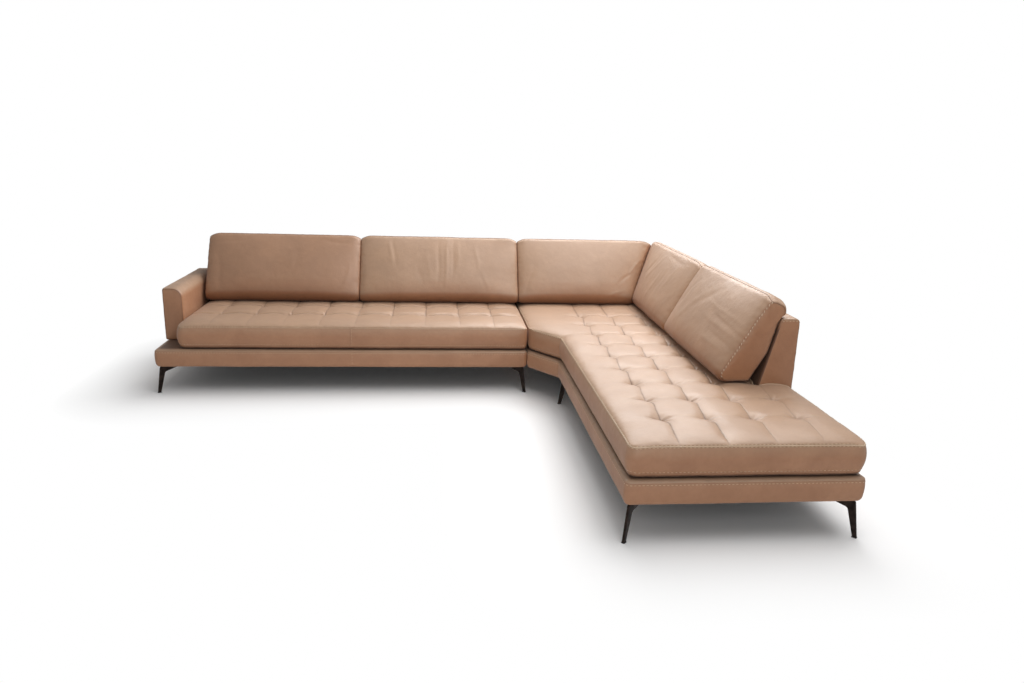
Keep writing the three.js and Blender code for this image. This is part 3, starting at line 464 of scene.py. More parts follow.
class Graph:
    """The nodes of a world or a material, with short ways to add and join them."""

    def __init__(self, owner: bpy.types.World | bpy.types.Material) -> None:
        """Starts with no nodes.

        Args:
            owner: whose nodes they are.
        """
        owner.use_nodes = True
        self.tree = owner.node_tree
        self.tree.nodes.clear()

    def feed(self, socket: Socket, value: object) -> None:
        """Joins an output to a socket, or sets its value, for a colour from its display code."""
        if isinstance(value, bpy.types.NodeSocket):
            self.tree.links.new(value, socket)
        else:
            socket.default_value = linear(value) if isinstance(value, str) else value

    def fill(self, node: bpy.types.Node, sockets: dict[str, object]) -> None:
        """Feeds a node's inputs by their names, with _ for a blank."""
        for key, value in sockets.items():
            self.feed(node.inputs[key.replace("_", " ")], value)

    def node(
        self, kind: str, settings: dict | None = None, *values: object, **sockets: object
    ) -> bpy.types.Node:
        """Adds a node.

        Args:
            kind: the node's type, without its common prefix.
            settings: values of its own fields.
            values: values or outputs for its first inputs, in their order.
            sockets: values or outputs for its inputs, with _ for a blank in a name.

        Returns:
            The node.
        """
        made = self.tree.nodes.new("ShaderNode" + kind)
        for key, value in (settings or {}).items():
            setattr(made, key, value)
        for socket, value in zip(made.inputs, values):
            self.feed(socket, value)
        self.fill(made, sockets)
        return made

    def number(self, operation: str, *values: object) -> Socket:
        """Returns what an operation makes of numbers."""
        return self.node("Math", {"operation": operation}, *values).outputs[0]

    def vector(self, operation: str, *values: object) -> Socket:
        """Returns what an operation makes of vectors."""
        made = self.node("VectorMath", {"operation": operation}, *values)
        return made.outputs["Value" if operation == "LENGTH" else "Vector"]

    def split(self, share: object, first: Socket, second: Socket) -> Socket:
        """Returns a shader between two, by a share."""
        return self.node("MixShader", None, share, first, second).outputs[0]

    def seen(self) -> Socket:
        """Returns one for what the camera sees itself, and zero for all other rays."""
        return self.node("LightPath").outputs["Is Camera Ray"]

    def spread(self, value: object, low: float, high: float, start: float, end: float) -> Socket:
        """Returns a value mapped from low and high to start and end."""
        made = self.node("MapRange", Value=value, From_Min=low, From_Max=high, To_Min=start, To_Max=end)
        return made.outputs[0]


class Coat(Graph):
    """The nodes of one material: a principled shader and what feeds it."""

    def __init__(self, name: str) -> None:
        """Starts a material with one principled shader.

        Args:
            name: the material's name.
        """
        self.material = bpy.data.materials.new(name)
        super().__init__(self.material)
        self.output = self.node("OutputMaterial")
        self.shader = self.node("BsdfPrincipled")
        self.feed(self.output.inputs[0], self.shader.outputs[0])
        self.place = self.node("TexCoord").outputs["Object"]

    def dress(self, **sockets: object) -> None:
        """Feeds the shader's inputs by their names, with _ for a blank."""
        self.fill(self.shader, sockets)

    def noise(self, scale: float, detail: float = 3.0, distortion: float = 0.0) -> Socket:
        """Returns the value of a noise on the piece's own coordinates."""
        made = self.node(
            "TexNoise", Vector=self.place, Scale=scale, Detail=detail, Distortion=distortion
        )
        return made.outputs["Factor"] if "Factor" in made.outputs else made.outputs["Fac"]

    def patches(self, kind: Patches, start: float = 0.0, end: float = 1.0) -> Socket:
        """Returns patches whose values run from start to end."""
        value = self.noise(kind.scale, kind.detail, kind.distortion)
        return self.spread(value, kind.low, kind.high, start, end)

    def cells(self, scale: float) -> Socket:
        """Returns the distance of a smooth cell pattern on the piece's own coordinates."""
        made = self.node("TexVoronoi", {"feature": "SMOOTH_F1"}, Vector=self.place, Scale=scale)
        return made.outputs["Distance"]

    def waves(self, direction: str, scale: float, **sockets: object) -> Socket:
        """Returns the value of a wave pattern on the piece's own coordinates."""
        bands = {"bands_direction": direction}
        return self.node("TexWave", bands, Vector=self.place, Scale=scale, **sockets).outputs[1]

    def blend(self, share: object, first: object, second: object) -> Socket:
        """Returns a colour between two, by a share."""
        made = self.node("Mix", {"data_type": "RGBA"})
        for index, value in ((0, share), (6, first), (7, second)):
            self.feed(made.inputs[index], value)
        return made.outputs[2]

    def bump(self, height: object, strength: float, depth: float, **under: Socket) -> Socket:
        """Returns a normal bent by a height, over another Normal if there is one."""
        return self.node("Bump", Height=height, Strength=strength, Distance=depth, **under).outputs[0]

    def attribute(self, name: str) -> Socket:
        """Returns the value of a point attribute."""
        return self.node("Attribute", {"attribute_name": name}).outputs["Fac"]


@dataclass(frozen=True)
class Finish:
    """What a piece is made of. Each kind draws its own material once."""

    name: str
    slot: str

    def material(self) -> bpy.types.Material:
        """Returns the material, made at its first use."""
        found = bpy.data.materials.get(self.name)
        if found is None:
            coat = Coat(self.name)
            self.draw(coat)
            found = coat.material
        return found

    def draw(self, coat: Coat) -> None:
        """Fills the material's nodes."""
        raise NotImplementedError


@dataclass(frozen=True)
class Leather(Finish):
    """Aniline leather: cloudy tan, fine pores and wrinkles, painted shade in seams, creases and gaps, and
    a painted pale sheen on what faces up.
    """

    pale: str = "b48463"
    middle: str = "aa7a59"
    deep: str = "976748"
    # the pale grey painted as sheen on what faces up
    painted_sheen: str = "b4b4a2"
    # the dark brown painted as shade in seams, creases and gaps
    fold: str = "43281a"
    cloud: Patches = Patches(1.6, 3.0)
    blotch: Patches = Patches(6.5, 4.0, 0.6, 0.35, 0.75)
    mottle: Patches = Patches(55.0, 4.0, 0.0, 0.4, 0.8)
    polish: Patches = Patches(6.5)
    blotch_share: float = 0.55
    mottle_share: float = 0.28
    painted_sheen_share: float = 0.25
    painted_shade_share: float = 0.80
    roughness: float = 0.46
    pore_scale: float = 620.0
    grain_scale: float = 190.0
    wrinkle_scale: float = 26.0

    def draw(self, coat: Coat) -> None:
        """Mixes three tones by noises, paints a pale sheen on what faces up and shade by the painted shade
        attribute, and bends the normal by grain.
        """
        tone = coat.blend(coat.patches(self.cloud), self.middle, self.pale)
        tone = coat.blend(coat.patches(self.blotch, 0.0, self.blotch_share), tone, self.deep)
        tone = coat.blend(coat.patches(self.mottle, 0.0, self.mottle_share), tone, self.deep)
        # Painted sheen: paler where the surface faces up.
        painted_sheen = coat.spread(coat.attribute(UPWARD), 0.02, 0.5, 0.0, self.painted_sheen_share)
        tone = coat.blend(painted_sheen, tone, self.painted_sheen)
        # Painted shade: the dark brown mixed in where the painted shade attribute is high.
        crease = coat.spread(coat.attribute(PAINTED_SHADE), 0.0, 1.0, 0.0, self.painted_shade_share)
        wrinkles = coat.bump(coat.noise(self.wrinkle_scale, 5.0, 1.4), 0.35, 0.0022)
        grain = coat.bump(coat.cells(self.grain_scale), 0.22, 0.0012, Normal=wrinkles)
        coat.dress(
            Base_Color=coat.blend(crease, tone, self.fold),
            Roughness=coat.number("ADD", coat.patches(self.polish, -0.06, 0.07), self.roughness),
            Normal=coat.bump(coat.noise(self.pore_scale, 2.0), 0.25, 0.0004, Normal=grain),
            Sheen_Weight=0.10,
            Sheen_Roughness=0.45,
            Specular_IOR_Level=0.62,
        )


@dataclass(frozen=True)
class Thread(Finish):
    """Twisted sewing thread."""

    pale: str = "ecdcc6"
    deep: str = "d4bf9f"

    def draw(self, coat: Coat) -> None:
        """Mixes two tones by a fine noise, which also lifts the twist."""
        twist = coat.noise(900.0, 2.0, 1.5)
        coat.dress(
            Base_Color=coat.blend(twist, self.pale, self.deep),
            Normal=coat.bump(twist, 0.4, 0.0004),
            Roughness=0.62,
        )


@dataclass(frozen=True)
class CoatedMetal(Finish):
    """Dark bronze powder coat, or bare plated steel, with a fine tooth and rubbed places."""

    pale: str = "4a3c35"
    deep: str = "241c19"
    roughness: float = 0.42
    metallic: float = 0.75
    worn: Patches = Patches(38.0, 4.0, 0.0, 0.35, 0.75)
    rubbed: Patches = Patches(60.0, 3.0)
    tooth_scale: float = 1400.0

    def draw(self, coat: Coat) -> None:
        """Mixes two tones by a noise and roughens the surface by a finer one."""
        coat.dress(
            Base_Color=coat.blend(coat.patches(self.worn), self.deep, self.pale),
            Roughness=coat.patches(self.rubbed, self.roughness - 0.08, self.roughness + 0.1),
            Normal=coat.bump(coat.noise(self.tooth_scale, 2.0), 0.18, 0.0003),
            Metallic=self.metallic,
        )


@dataclass(frozen=True)
class Matt(Finish):
    """Plain matt stuff: plastic, foam, lining or webbing, with a grain of its own size."""

    pale: str
    deep: str
    grain_scale: float
    depth: float
    roughness: float = 0.85

    def draw(self, coat: Coat) -> None:
        """Mixes two tones by a noise, whose finer copy bends the normal."""
        coat.dress(
            Base_Color=coat.blend(coat.patches(Patches(self.grain_scale / 12)), self.pale, self.deep),
            Normal=coat.bump(coat.noise(self.grain_scale), 0.5, self.depth),
            Roughness=self.roughness,
        )


@dataclass(frozen=True)
class Weave(Matt):
    """Woven straps: two sets of ribs that cross."""

    rib_scale: float = 260.0

    def draw(self, coat: Coat) -> None:
        """Adds two wave patterns across each other to the matt base."""
        super().draw(coat)
        ribs = coat.number("MAXIMUM", *(coat.waves(axis, self.rib_scale) for axis in "XY"))
        coat.dress(Normal=coat.bump(ribs, 0.6, self.depth))


@dataclass(frozen=True)
class Wood(Finish):
    """Sawn softwood: rings stretched along the rails."""

    pale: str = "d8b884"
    deep: str = "a87d4a"

    def draw(self, coat: Coat) -> None:
        """Bends a wave pattern by noise and mixes two tones by it."""
        rings = coat.waves("DIAGONAL", 9.0, Distortion=9.0, Detail=4.0)
        coat.dress(
            Base_Color=coat.blend(rings, self.pale, self.deep),
            Normal=coat.bump(coat.noise(300.0, 4.0), 0.4, 0.0006),
            Roughness=0.75,
        )


LEATHER = Leather("tan_leather", "leather")
# A darker copy of the tan leather with less painted sheen: painted shade for the outer cushion, at the
# left end where less light falls.
SHADED_LEATHER = Leather(
    "shaded_leather", "leather", pale="ad7c5c", middle="a47352", deep="916142", painted_sheen_share=0.16
)
# Pale leather for the seat welts: a painted highlight along the seats' top seams.
HIGHLIGHT_WELT = Leather("highlight_welt", "leather", pale="dfc2a6", middle="d8b797", deep="c8a585")
THREAD = Thread("cream_thread", "leather", pale="dcc3a5", deep="c3a583")
PALE_THREAD = Thread("pale_thread", "leather")
BRONZE = CoatedMetal("dark_bronze", "leg_metal")
STEEL = CoatedMetal("zinc_steel", "steel", "b9bcbf", "8f9396", roughness=0.34, metallic=1.0)
PLASTIC = Matt("glide_plastic", "glide", "1c1b1b", "121212", 900.0, 0.0002, roughness=0.55)
FOAM = Matt("deck_foam", "foam", "ebe2bd", "dccf9f", 420.0, 0.0012)
LINING = Matt("dust_lining", "lining", "262525", "161515", 700.0, 0.0004)
WEBBING = Weave("elastic_webbing", "webbing", "3a3633", "242120", 500.0, 0.0005)
TIMBER = Wood("sawn_timber", "timber")


# Where things stand, from the frame


@dataclass(frozen=True)
class Row:
    """A row of backs: its own X runs along it, its depth runs towards its panel."""

    x: float
    y: float
    depth: float
    turned: bool = False

    def place(self, along: Array, depth: Array, height: Array) -> Array:
        """Points in the sofa's frame.

        Args:
            along: how far along the row.
            depth: how far behind the row's front line.
            height: how far over the floor.

        Returns:
            Points, with three numbers last.
        """
        along, depth, height = np.broadcast_arrays(along, depth, height)
        if self.turned:
            return np.stack([self.x + depth, self.y - along, height], axis=-1)
        return np.stack([self.x + along, self.y + depth, height], axis=-1)

    def panel_inner(self, height: Array | float) -> Array | float:
        """Returns the depth of the inner face of the row's panel at a height."""
        knee = PLATFORM_TOP_Z + PANEL_KNEE
        share = np.clip((height - knee) / (PANEL_TOP_Z - knee), 0, 1)
        return self.depth - PANEL_FOOT + (PANEL_FOOT - PANEL_THICKNESS) * share


WING_LOW, WING_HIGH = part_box("wing_platform_wrap")
CHAISE_LOW, CHAISE_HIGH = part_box("chaise_platform_wrap")
WING_SEAT_LOW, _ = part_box("wing_seat_cushion")
ARM_LOW, ARM_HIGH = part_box("arm_cover")
SIDE_BACK_LOW, SIDE_BACK_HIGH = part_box("side_back_cover")
_, WING_BACK_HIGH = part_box("wing_back_cover")

MODULE_DEPTH = WING_HIGH.y - WING_LOW.y
CHAISE_SETBACK = 0.16
PANEL_FOOT = SIDE_BACK_HIGH.x - SIDE_BACK_LOW.x
SEAM_X = (WING_HIGH.x + CHAISE_LOW.x) / 2
FRONT_Y = WING_LOW.y
BACK_Y = WING_HIGH.y
INNER_X = SEAM_X + CHAISE_SETBACK
CHAISE_WIDTH = CHAISE_HIGH.x - INNER_X
CHAMFER_DEPTH = 0.22
CHAMFER_Y = FRONT_Y - CHAMFER_DEPTH
MODULE_GAP = CHAISE_LOW.x - WING_HIGH.x
WING_WEDGE = 0.030
SIDE_WEDGE = CHAISE_WIDTH - MODULE_DEPTH + WING_WEDGE
CUSHION_FOOT = 0.190
SEATED_GAP = 0.0003
PANEL_SEAM_X = SEAM_X - 1.085
STITCH_GAP = 0.0055

UNDERSIDE_Z = WING_LOW.z
PLATFORM_TOP_Z = WING_HIGH.z
PLATFORM_SEAM_Z = PLATFORM_TOP_Z - 0.014
SEAT_BOTTOM_Z = WING_SEAT_LOW.z
SEAT_LOWER_Z = PLATFORM_TOP_Z + 0.026
SEAT_UPPER_Z = SEAT_LOWER_Z + 0.112
SEAT_CROWN = 0.028
CUSHION_FOOT_Z = SEAT_UPPER_Z + SEAT_CROWN + SEATED_GAP
PANEL_TOP_Z = WING_BACK_HIGH.z
PANEL_THICKNESS = 0.095
PANEL_KNEE = 0.160

WING_ROW = Row(SEAM_X, FRONT_Y, MODULE_DEPTH)
SIDE_ROW = Row(INNER_X, FRONT_Y, CHAISE_WIDTH, turned=True)


# Thread and piping, which lie on other pieces


class Surface:
    """A finished piece that thread and piping are laid on."""

    def __init__(self, piece: bpy.types.Object) -> None:
        """Prepares the search for the nearest place on a piece.

        Args:
            piece: the piece.
        """
        self.tree = BVHTree.FromObject(piece, bpy.context.evaluated_depsgraph_get())

    def lay(self, path: Array) -> tuple[Array, Array]:
        """The nearest places on the piece to a path.

        Args:
            path: points near the piece.

        Returns:
            The places and the outward normals there.
        """
        hits = [self.tree.find_nearest(Vector(point)) for point in path]
        return np.array([hit[0] for hit in hits]), np.array([hit[1] for hit in hits])


def evenly(path: Array, pitch: float) -> Array:
    """A path with its points spread evenly along it.

    Args:
        path: the path's points.
        pitch: the distance from one point to the next.

    Returns:
        The new points.
    """
    length = np.concatenate([[0], np.cumsum(np.linalg.norm(np.diff(path, axis=0), axis=1))])
    marks = np.linspace(0, length[-1], max(2, int(length[-1] / pitch)) + 1)
    return np.stack([np.interp(marks, length, path[:, axis]) for axis in range(3)], axis=1)


@dataclass
class Stitching:
    """Rows of single stitches: each is a short bead that rises in its middle and dives at its ends."""

    name: str
    pitch: float = 0.0165
    length: float = 0.0112
    radius: float = 0.00115
    slant: float = 0.0
    finish: Finish = THREAD
    sides: int = 5
    ring_place: float = 0.30
    rises: tuple[float, float, float] = (0.1, 0.55, 0.1)
    rows: list[tuple[Array, Array, Array]] = field(default_factory=list)

    def row(self, surface: Surface, path: Array) -> None:
        """Lays a row along a path on a surface.

        Args:
            surface: the piece that is sewn.
            path: points near it.
        """
        places, normals = surface.lay(evenly(path, self.pitch))
        along = np.gradient(places, axis=0)
        along = unit(along - normals * np.sum(along * normals, axis=1)[:, None])
        across = np.cross(normals, along)
        turned = along * math.cos(self.slant) + across * math.sin(self.slant)
        self.rows.append((places, turned, normals))

    def _bead(self) -> tuple[Array, list[list[int]]]:
        """The shape of one stitch: three rings and two tips.

        Returns:
            Its points and its faces.
        """
        count = self.sides
        turns = np.linspace(0, 2 * np.pi, count, endpoint=False)
        rings = self.length * self.ring_place * np.array([-1.0, 0.0, 1.0])
        body = [
            np.repeat(rings, count),
            np.tile(np.cos(turns), 3) * self.radius,
            (np.tile(np.sin(turns), 3) + np.repeat(self.rises, count)) * self.radius,
        ]
        tips = np.array([[-self.length / 2, 0, -self.radius], [self.length / 2, 0, -self.radius]])
        faces = []
        for side in range(count):
            after = (side + 1) % count
            for ring in (0, count):
                faces.append([ring + side, ring + after, ring + count + after, ring + count + side])
            faces += [[3 * count, after, side], [3 * count + 1, 2 * count + side, 2 * count + after]]
        return np.concatenate([np.stack(body, axis=1), tips]), faces

    def build(self) -> bpy.types.Object:
        """Makes the rows one piece.

        Returns:
            The thread.
        """
        bead, shape = self._bead()
        places, along, normals = (np.concatenate(part) for part in zip(*self.rows))
        axes = np.stack([along, np.cross(normals, along), normals], axis=1)
        points = (places[:, None] + bead @ axes).reshape(-1, 3)
        starts = range(0, len(points), len(bead))
        faces = [[start + index for index in face] for start in starts for face in shape]
        mesh = bpy.data.meshes.new(self.name)
        mesh.from_pydata(points.tolist(), [], faces)
        mesh.shade_smooth()
        return placed(mesh, self.name, self.finish)


@dataclass
class Piping:
    """Round welts: a circle carried along paths that lie on a piece, sunk by a share of its radius."""

    name: str
    radius: float = 0.0024
    sunk_share: float = 0.35
    # how much painted shade the welts carry, from 0 to 1
    dark: float = 0.5
    sides: int = 8
    smoothing: int = 5
    paths: list[tuple[Array, bool]] = field(default_factory=list)

    def run(self, surface: Surface, path: Array, closed: bool = False) -> None:
        """Lays one welt.

        Args:
            surface: the piece that carries it.
            path: points near it.
            closed: whether it meets its own start.
        """
        places, normals = surface.lay(evenly(path, self.radius * 2))
        kernel = np.ones(self.smoothing) / self.smoothing
        padded = np.pad(places, ((self.smoothing // 2,) * 2, (0, 0)), mode="edge")
        smooth = np.stack([np.convolve(padded[:, axis], kernel, "valid") for axis in range(3)], axis=1)
        self.paths.append((smooth + normals * (self.radius * (1 - 2 * self.sunk_share)), closed))

    def build(self, finish: Finish) -> bpy.types.Object:
        """Makes the welts one piece.

        Args:
            finish: what they are made of.

        Returns:
            The piping.
        """
        skin = Skin()
        angles = np.linspace(0, 2 * np.pi, self.sides, endpoint=False)[:, None]
        for path, closed in self.paths:
            along = unit(np.gradient(path, axis=0))
            side = np.cross(along, [0.0, 0.0, 1.0])
            steep = np.linalg.norm(side, axis=1) < 0.2
            side[steep] = np.cross(along[steep], [0.0, 1.0, 0.0])
            side = unit(side)
            up = np.cross(side, along)
            circle = side[:, None] * np.cos(angles) + up[:, None] * np.sin(angles)
            indices = skin.add(path[:, None] + self.radius * circle, 1.0, self.dark)
            skin.sheet(indices, closed=True)
            skin.caps += [] if closed else [indices[0], indices[-1]]
        return skin.build(self.name, finish)


# Platforms


@dataclass
class Platform:
    """A padded plinth in leather: rolled under, boxed and rolled over its top edge."""

    name: str
    node: str
    corners: list[Corner]
    seed: int
    panel_seams: Sequence[float] = ()
    under_draw: float = 0.022
    under_rise: float = 0.030
    roll: float = 0.038
    wall: float = 0.034
    deck: float = 0.012
    belly: float = 0.0022
    front_band: float = 0.06
    # where the painted shade starts inside the edge, and how far it takes to darken
    gap_shade_start: float = 0.014
    gap_shade_run: float = 0.02

    def outline(self) -> RoundedOutline:
        """Returns the plan outline."""
        return RoundedOutline(self.corners, spacing=0.009, arc_steps=10)

    def profile(self) -> tuple[Array, Array, Array]:
        """The section from the hollow's ceiling round the outside to the top.

        Quarter ellipses under the seam and over it, and a shallow belly on the side.

        Returns:
            Insets, heights and distances to the seam.
        """
        foot = UNDERSIDE_Z + self.under_rise
        turn = np.linspace(0, np.pi / 2, 9)
        fine = PLATFORM_SEAM_Z - np.array([0.0045, 0.003, 0.0018, 0.0008])
        side = np.concatenate([np.linspace(foot, PLATFORM_SEAM_Z, 13)[1:-2], fine])
        belly = self.belly * np.sin(np.pi * (side - foot) / (PLATFORM_SEAM_Z - foot))
        over = np.concatenate([[0.0, 0.06, 0.13, 0.22, 0.34], np.linspace(0.5, np.pi / 2, 9)])
        parts = [
            ([self.wall] * 2, [PLATFORM_TOP_Z - self.deck, UNDERSIDE_Z]),
            (self.under_draw * (1 - np.sin(turn)), UNDERSIDE_Z + self.under_rise * (1 - np.cos(turn))),
            (-belly, side),
            (
                self.roll * (1 - np.cos(over)),
                PLATFORM_SEAM_Z + (PLATFORM_TOP_Z - PLATFORM_SEAM_Z) * np.sin(over),
            ),
        ]
        insets, heights = (np.concatenate(part) for part in zip(*parts))
        return insets, heights, np.hypot(insets, heights - PLATFORM_SEAM_Z)

    def build(self) -> bpy.types.Object:
        """Carries the section round the outline.

        Returns:
            The platform.
        """
        insets, heights, seams = self.profile()
        outline = self.outline()
        rings = np.stack([outline.ring(inset)[0] for inset in insets])
        levels = np.broadcast_to(heights[:, None, None], (*rings.shape[:2], 1))
        distance = np.broadcast_to(seams[:, None], rings.shape[:2])
        for seam_x in self.panel_seams:
            front = (rings[..., 1] < FRONT_Y + self.front_band) & (heights[:, None] > UNDERSIDE_Z)
            distance = np.where(front, np.minimum(distance, np.abs(rings[..., 0] - seam_x)), distance)
        # Painted shade on the top, under the seat cushion.
        shade = GAP_SHADE * ease((insets - self.gap_shade_start) / self.gap_shade_run) * (heights > PLATFORM_SEAM_Z)
        skin = Skin()
        indices = skin.add(np.concatenate([rings, levels], axis=2), distance, shade[:, None])
        skin.sheet(indices, closed=True)
        skin.caps += [indices[0], indices[-1]]
        relief = Relief(self.seed, broad=0.001, groove=0.0007, pucker=0.0007)
        piece = skin.build(self.name, LEATHER, relief)
        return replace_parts(piece, self.node)

    def sew(self, piece: bpy.types.Object, thread: Stitching) -> None:
        """Sews the row under the edge seam, and one beside each panel seam.

        Args:
            piece: the platform.
            thread: where the rows go.
        """
        surface = Surface(piece)
        ring, _ = self.outline().ring(0.0)
        path = np.concatenate([ring, np.full((len(ring), 1), PLATFORM_SEAM_Z - STITCH_GAP)], axis=1)
        thread.row(surface, np.concatenate([path, path[:1]]))
        for seam_x in self.panel_seams:
            low, high = UNDERSIDE_Z + self.under_rise, PLATFORM_SEAM_Z - 2 * STITCH_GAP
            thread.row(surface, np.array([[seam_x + STITCH_GAP, FRONT_Y, z] for z in (low, high)]))


# Seat cushions


@dataclass
class Tufting:
    """Sewn tufts at the crossings of columns and rows, and the creases between them.

    A crease runs along each column in shallow bows, and a fainter one along each row. A reach is
    how far a form spreads, and a lean makes it wider on one side of its line than on the other.
    """

    columns: Array
    rows: Array
    front: float
    back: float
    bow: float
    sway: float
    seed: int
    column_shares: Array
    front_share: float = 1.0
    cross_share: float = 0.6
    cross_least: float = 0.1
    hook: float = 2.6
    lean: float = 0.28
    tuft_depth: float = 0.0145
    tuft_reach: float = 0.040
    pin_depth: float = 0.0065
    pin_reach: float = 0.0085
    pin_shade: float = 0.7
    pin_shade_reach: float = 0.008
    valley_depth: float = 0.0075
    valley_reach: float = 0.032
    groove_depth: float = 0.0042
    groove_reach: float = 0.0034
    groove_rest: float = 0.72
    groove_rest_reach: float = 0.07
    cross_depth: float = 0.0058
    cross_reach: float = 0.025
    cross_lean: float = 0.35
    cross_rest: float = 0.35
    cross_run: float = 0.062
    ripple: float = 0.0016
    ripple_count: int = 6
    ripple_place: float = 0.026
    ripple_reach: float = 0.02
    straight_run: float = 0.03

    @property
    def knots(self) -> Array:
        """The rows with the front and the back, between which the creases bow."""
        return np.concatenate([[self.front], self.rows, [self.back]])

    def _nearest(self, lines: Array, value: Array) -> tuple[Array, Array]:
        """Returns the index of the line nearest to each value, and how far past it the value is."""
        index = np.argmin(np.abs(value[..., None] - lines), axis=-1)
        return index, value - lines[index]

    def _between(self, knots: Array, value: Array) -> tuple[Array, Array]:
        """Returns the interval that holds each value and the share of it that lies behind."""
        place = np.clip(np.searchsorted(knots, value) - 1, 0, len(knots) - 2)
        share = (value - knots[place]) / (knots[place + 1] - knots[place])
        return place, np.clip(share, 0, 1)

    def _beside(self, lines: Array, value: Array) -> Array:
        """Returns one on a line and zero midway between two, by a squared cosine."""
        _, gap = self._nearest(lines, value)
        return np.cos(np.pi * np.clip(gap / (lines[1] - lines[0]), -0.5, 0.5)) ** 2

    def warp(self, x: Array, y: Array) -> tuple[Array, Array]:
        """Bends the grid so that its lines follow the bowed creases.

        Args:
            x: plan places across.
            y: plan places along.

        Returns:
            The bent places.
        """
        _, along = self._between(self.knots, y)
        _, across = self._between(self.columns, x)
        inside = ease((y - self.front) / self.straight_run) * ease((self.back - y) / self.straight_run)
        bow = self.bow * np.sin(np.pi * along**self.hook) * self._beside(self.columns, x) * inside
        return x + bow, y + self.sway * np.sin(np.pi * across) * self._beside(self.rows, y)

    def relief(self, x: Array, y: Array) -> tuple[Array, Array]:
        """How far the top lies below its crown: tufts, valleys, grooves and ripples, added up.

        Args:
            x: unbent plan places across.
            y: unbent plan places along.

        Returns:
            Depths in metres, and the painted shade at each place, from 0 to 1.
        """
        draw = np.random.default_rng(self.seed)
        tufts = (len(self.columns), len(self.rows))
        (column, across), (row, along) = self._nearest(self.columns, x), self._nearest(self.rows, y)
        stretch, _ = self._between(self.knots, y)
        strength = draw.uniform(0.7, 1.0, (tufts[0], tufts[1] + 1))[column, stretch]
        strength = strength * self.column_shares[column] * np.where(stretch == 0, self.front_share, 1)
        pull = draw.uniform(0.75, 1.1, tufts)[column, row]
        cross_pull = draw.uniform(self.cross_least, 1.0, (*tufts, 2))
        cross_pull = cross_pull[column, row, (across > 0).astype(int)]
        phase = draw.uniform(0, 2 * np.pi, tufts)[column, row]
        reach = np.hypot(across, along)
        tuft = self.tuft_depth * pull * bell(reach, self.tuft_reach)
        tuft += self.pin_depth * pull * notch(reach, self.pin_reach)
        side = self.valley_reach * (1 + self.lean * np.sign(across))
        valley = self.valley_depth * strength * bell(across, side)
        rest = self.groove_rest + (1 - self.groove_rest) * notch(along, self.groove_rest_reach)
        groove = strength * rest * notch(across, self.groove_reach)
        run = bell(across, self.cross_run)
        ahead = self.cross_reach * (1 - self.cross_lean * np.sign(along))
        crossing = self.cross_depth * bell(along, ahead)
        crossing = crossing * (self.cross_rest + (1 - self.cross_rest) * run)
        cross_groove = self.cross_share * cross_pull * notch(along, self.groove_reach) * run
        spokes = np.cos(self.ripple_count * np.arctan2(along, across) + phase)
        ripple = self.ripple * pull * spokes * bell(reach - self.ripple_place, self.ripple_reach)
        # Painted shade in the grooves, whose strength also sets their depth, and at the pins.
        dark = np.maximum(groove, cross_groove)
        depth = tuft + np.maximum(valley, crossing) + ripple + self.groove_depth * dark
        return depth, np.clip(dark + self.pin_shade * pull * notch(reach, self.pin_shade_reach), 0, 1)


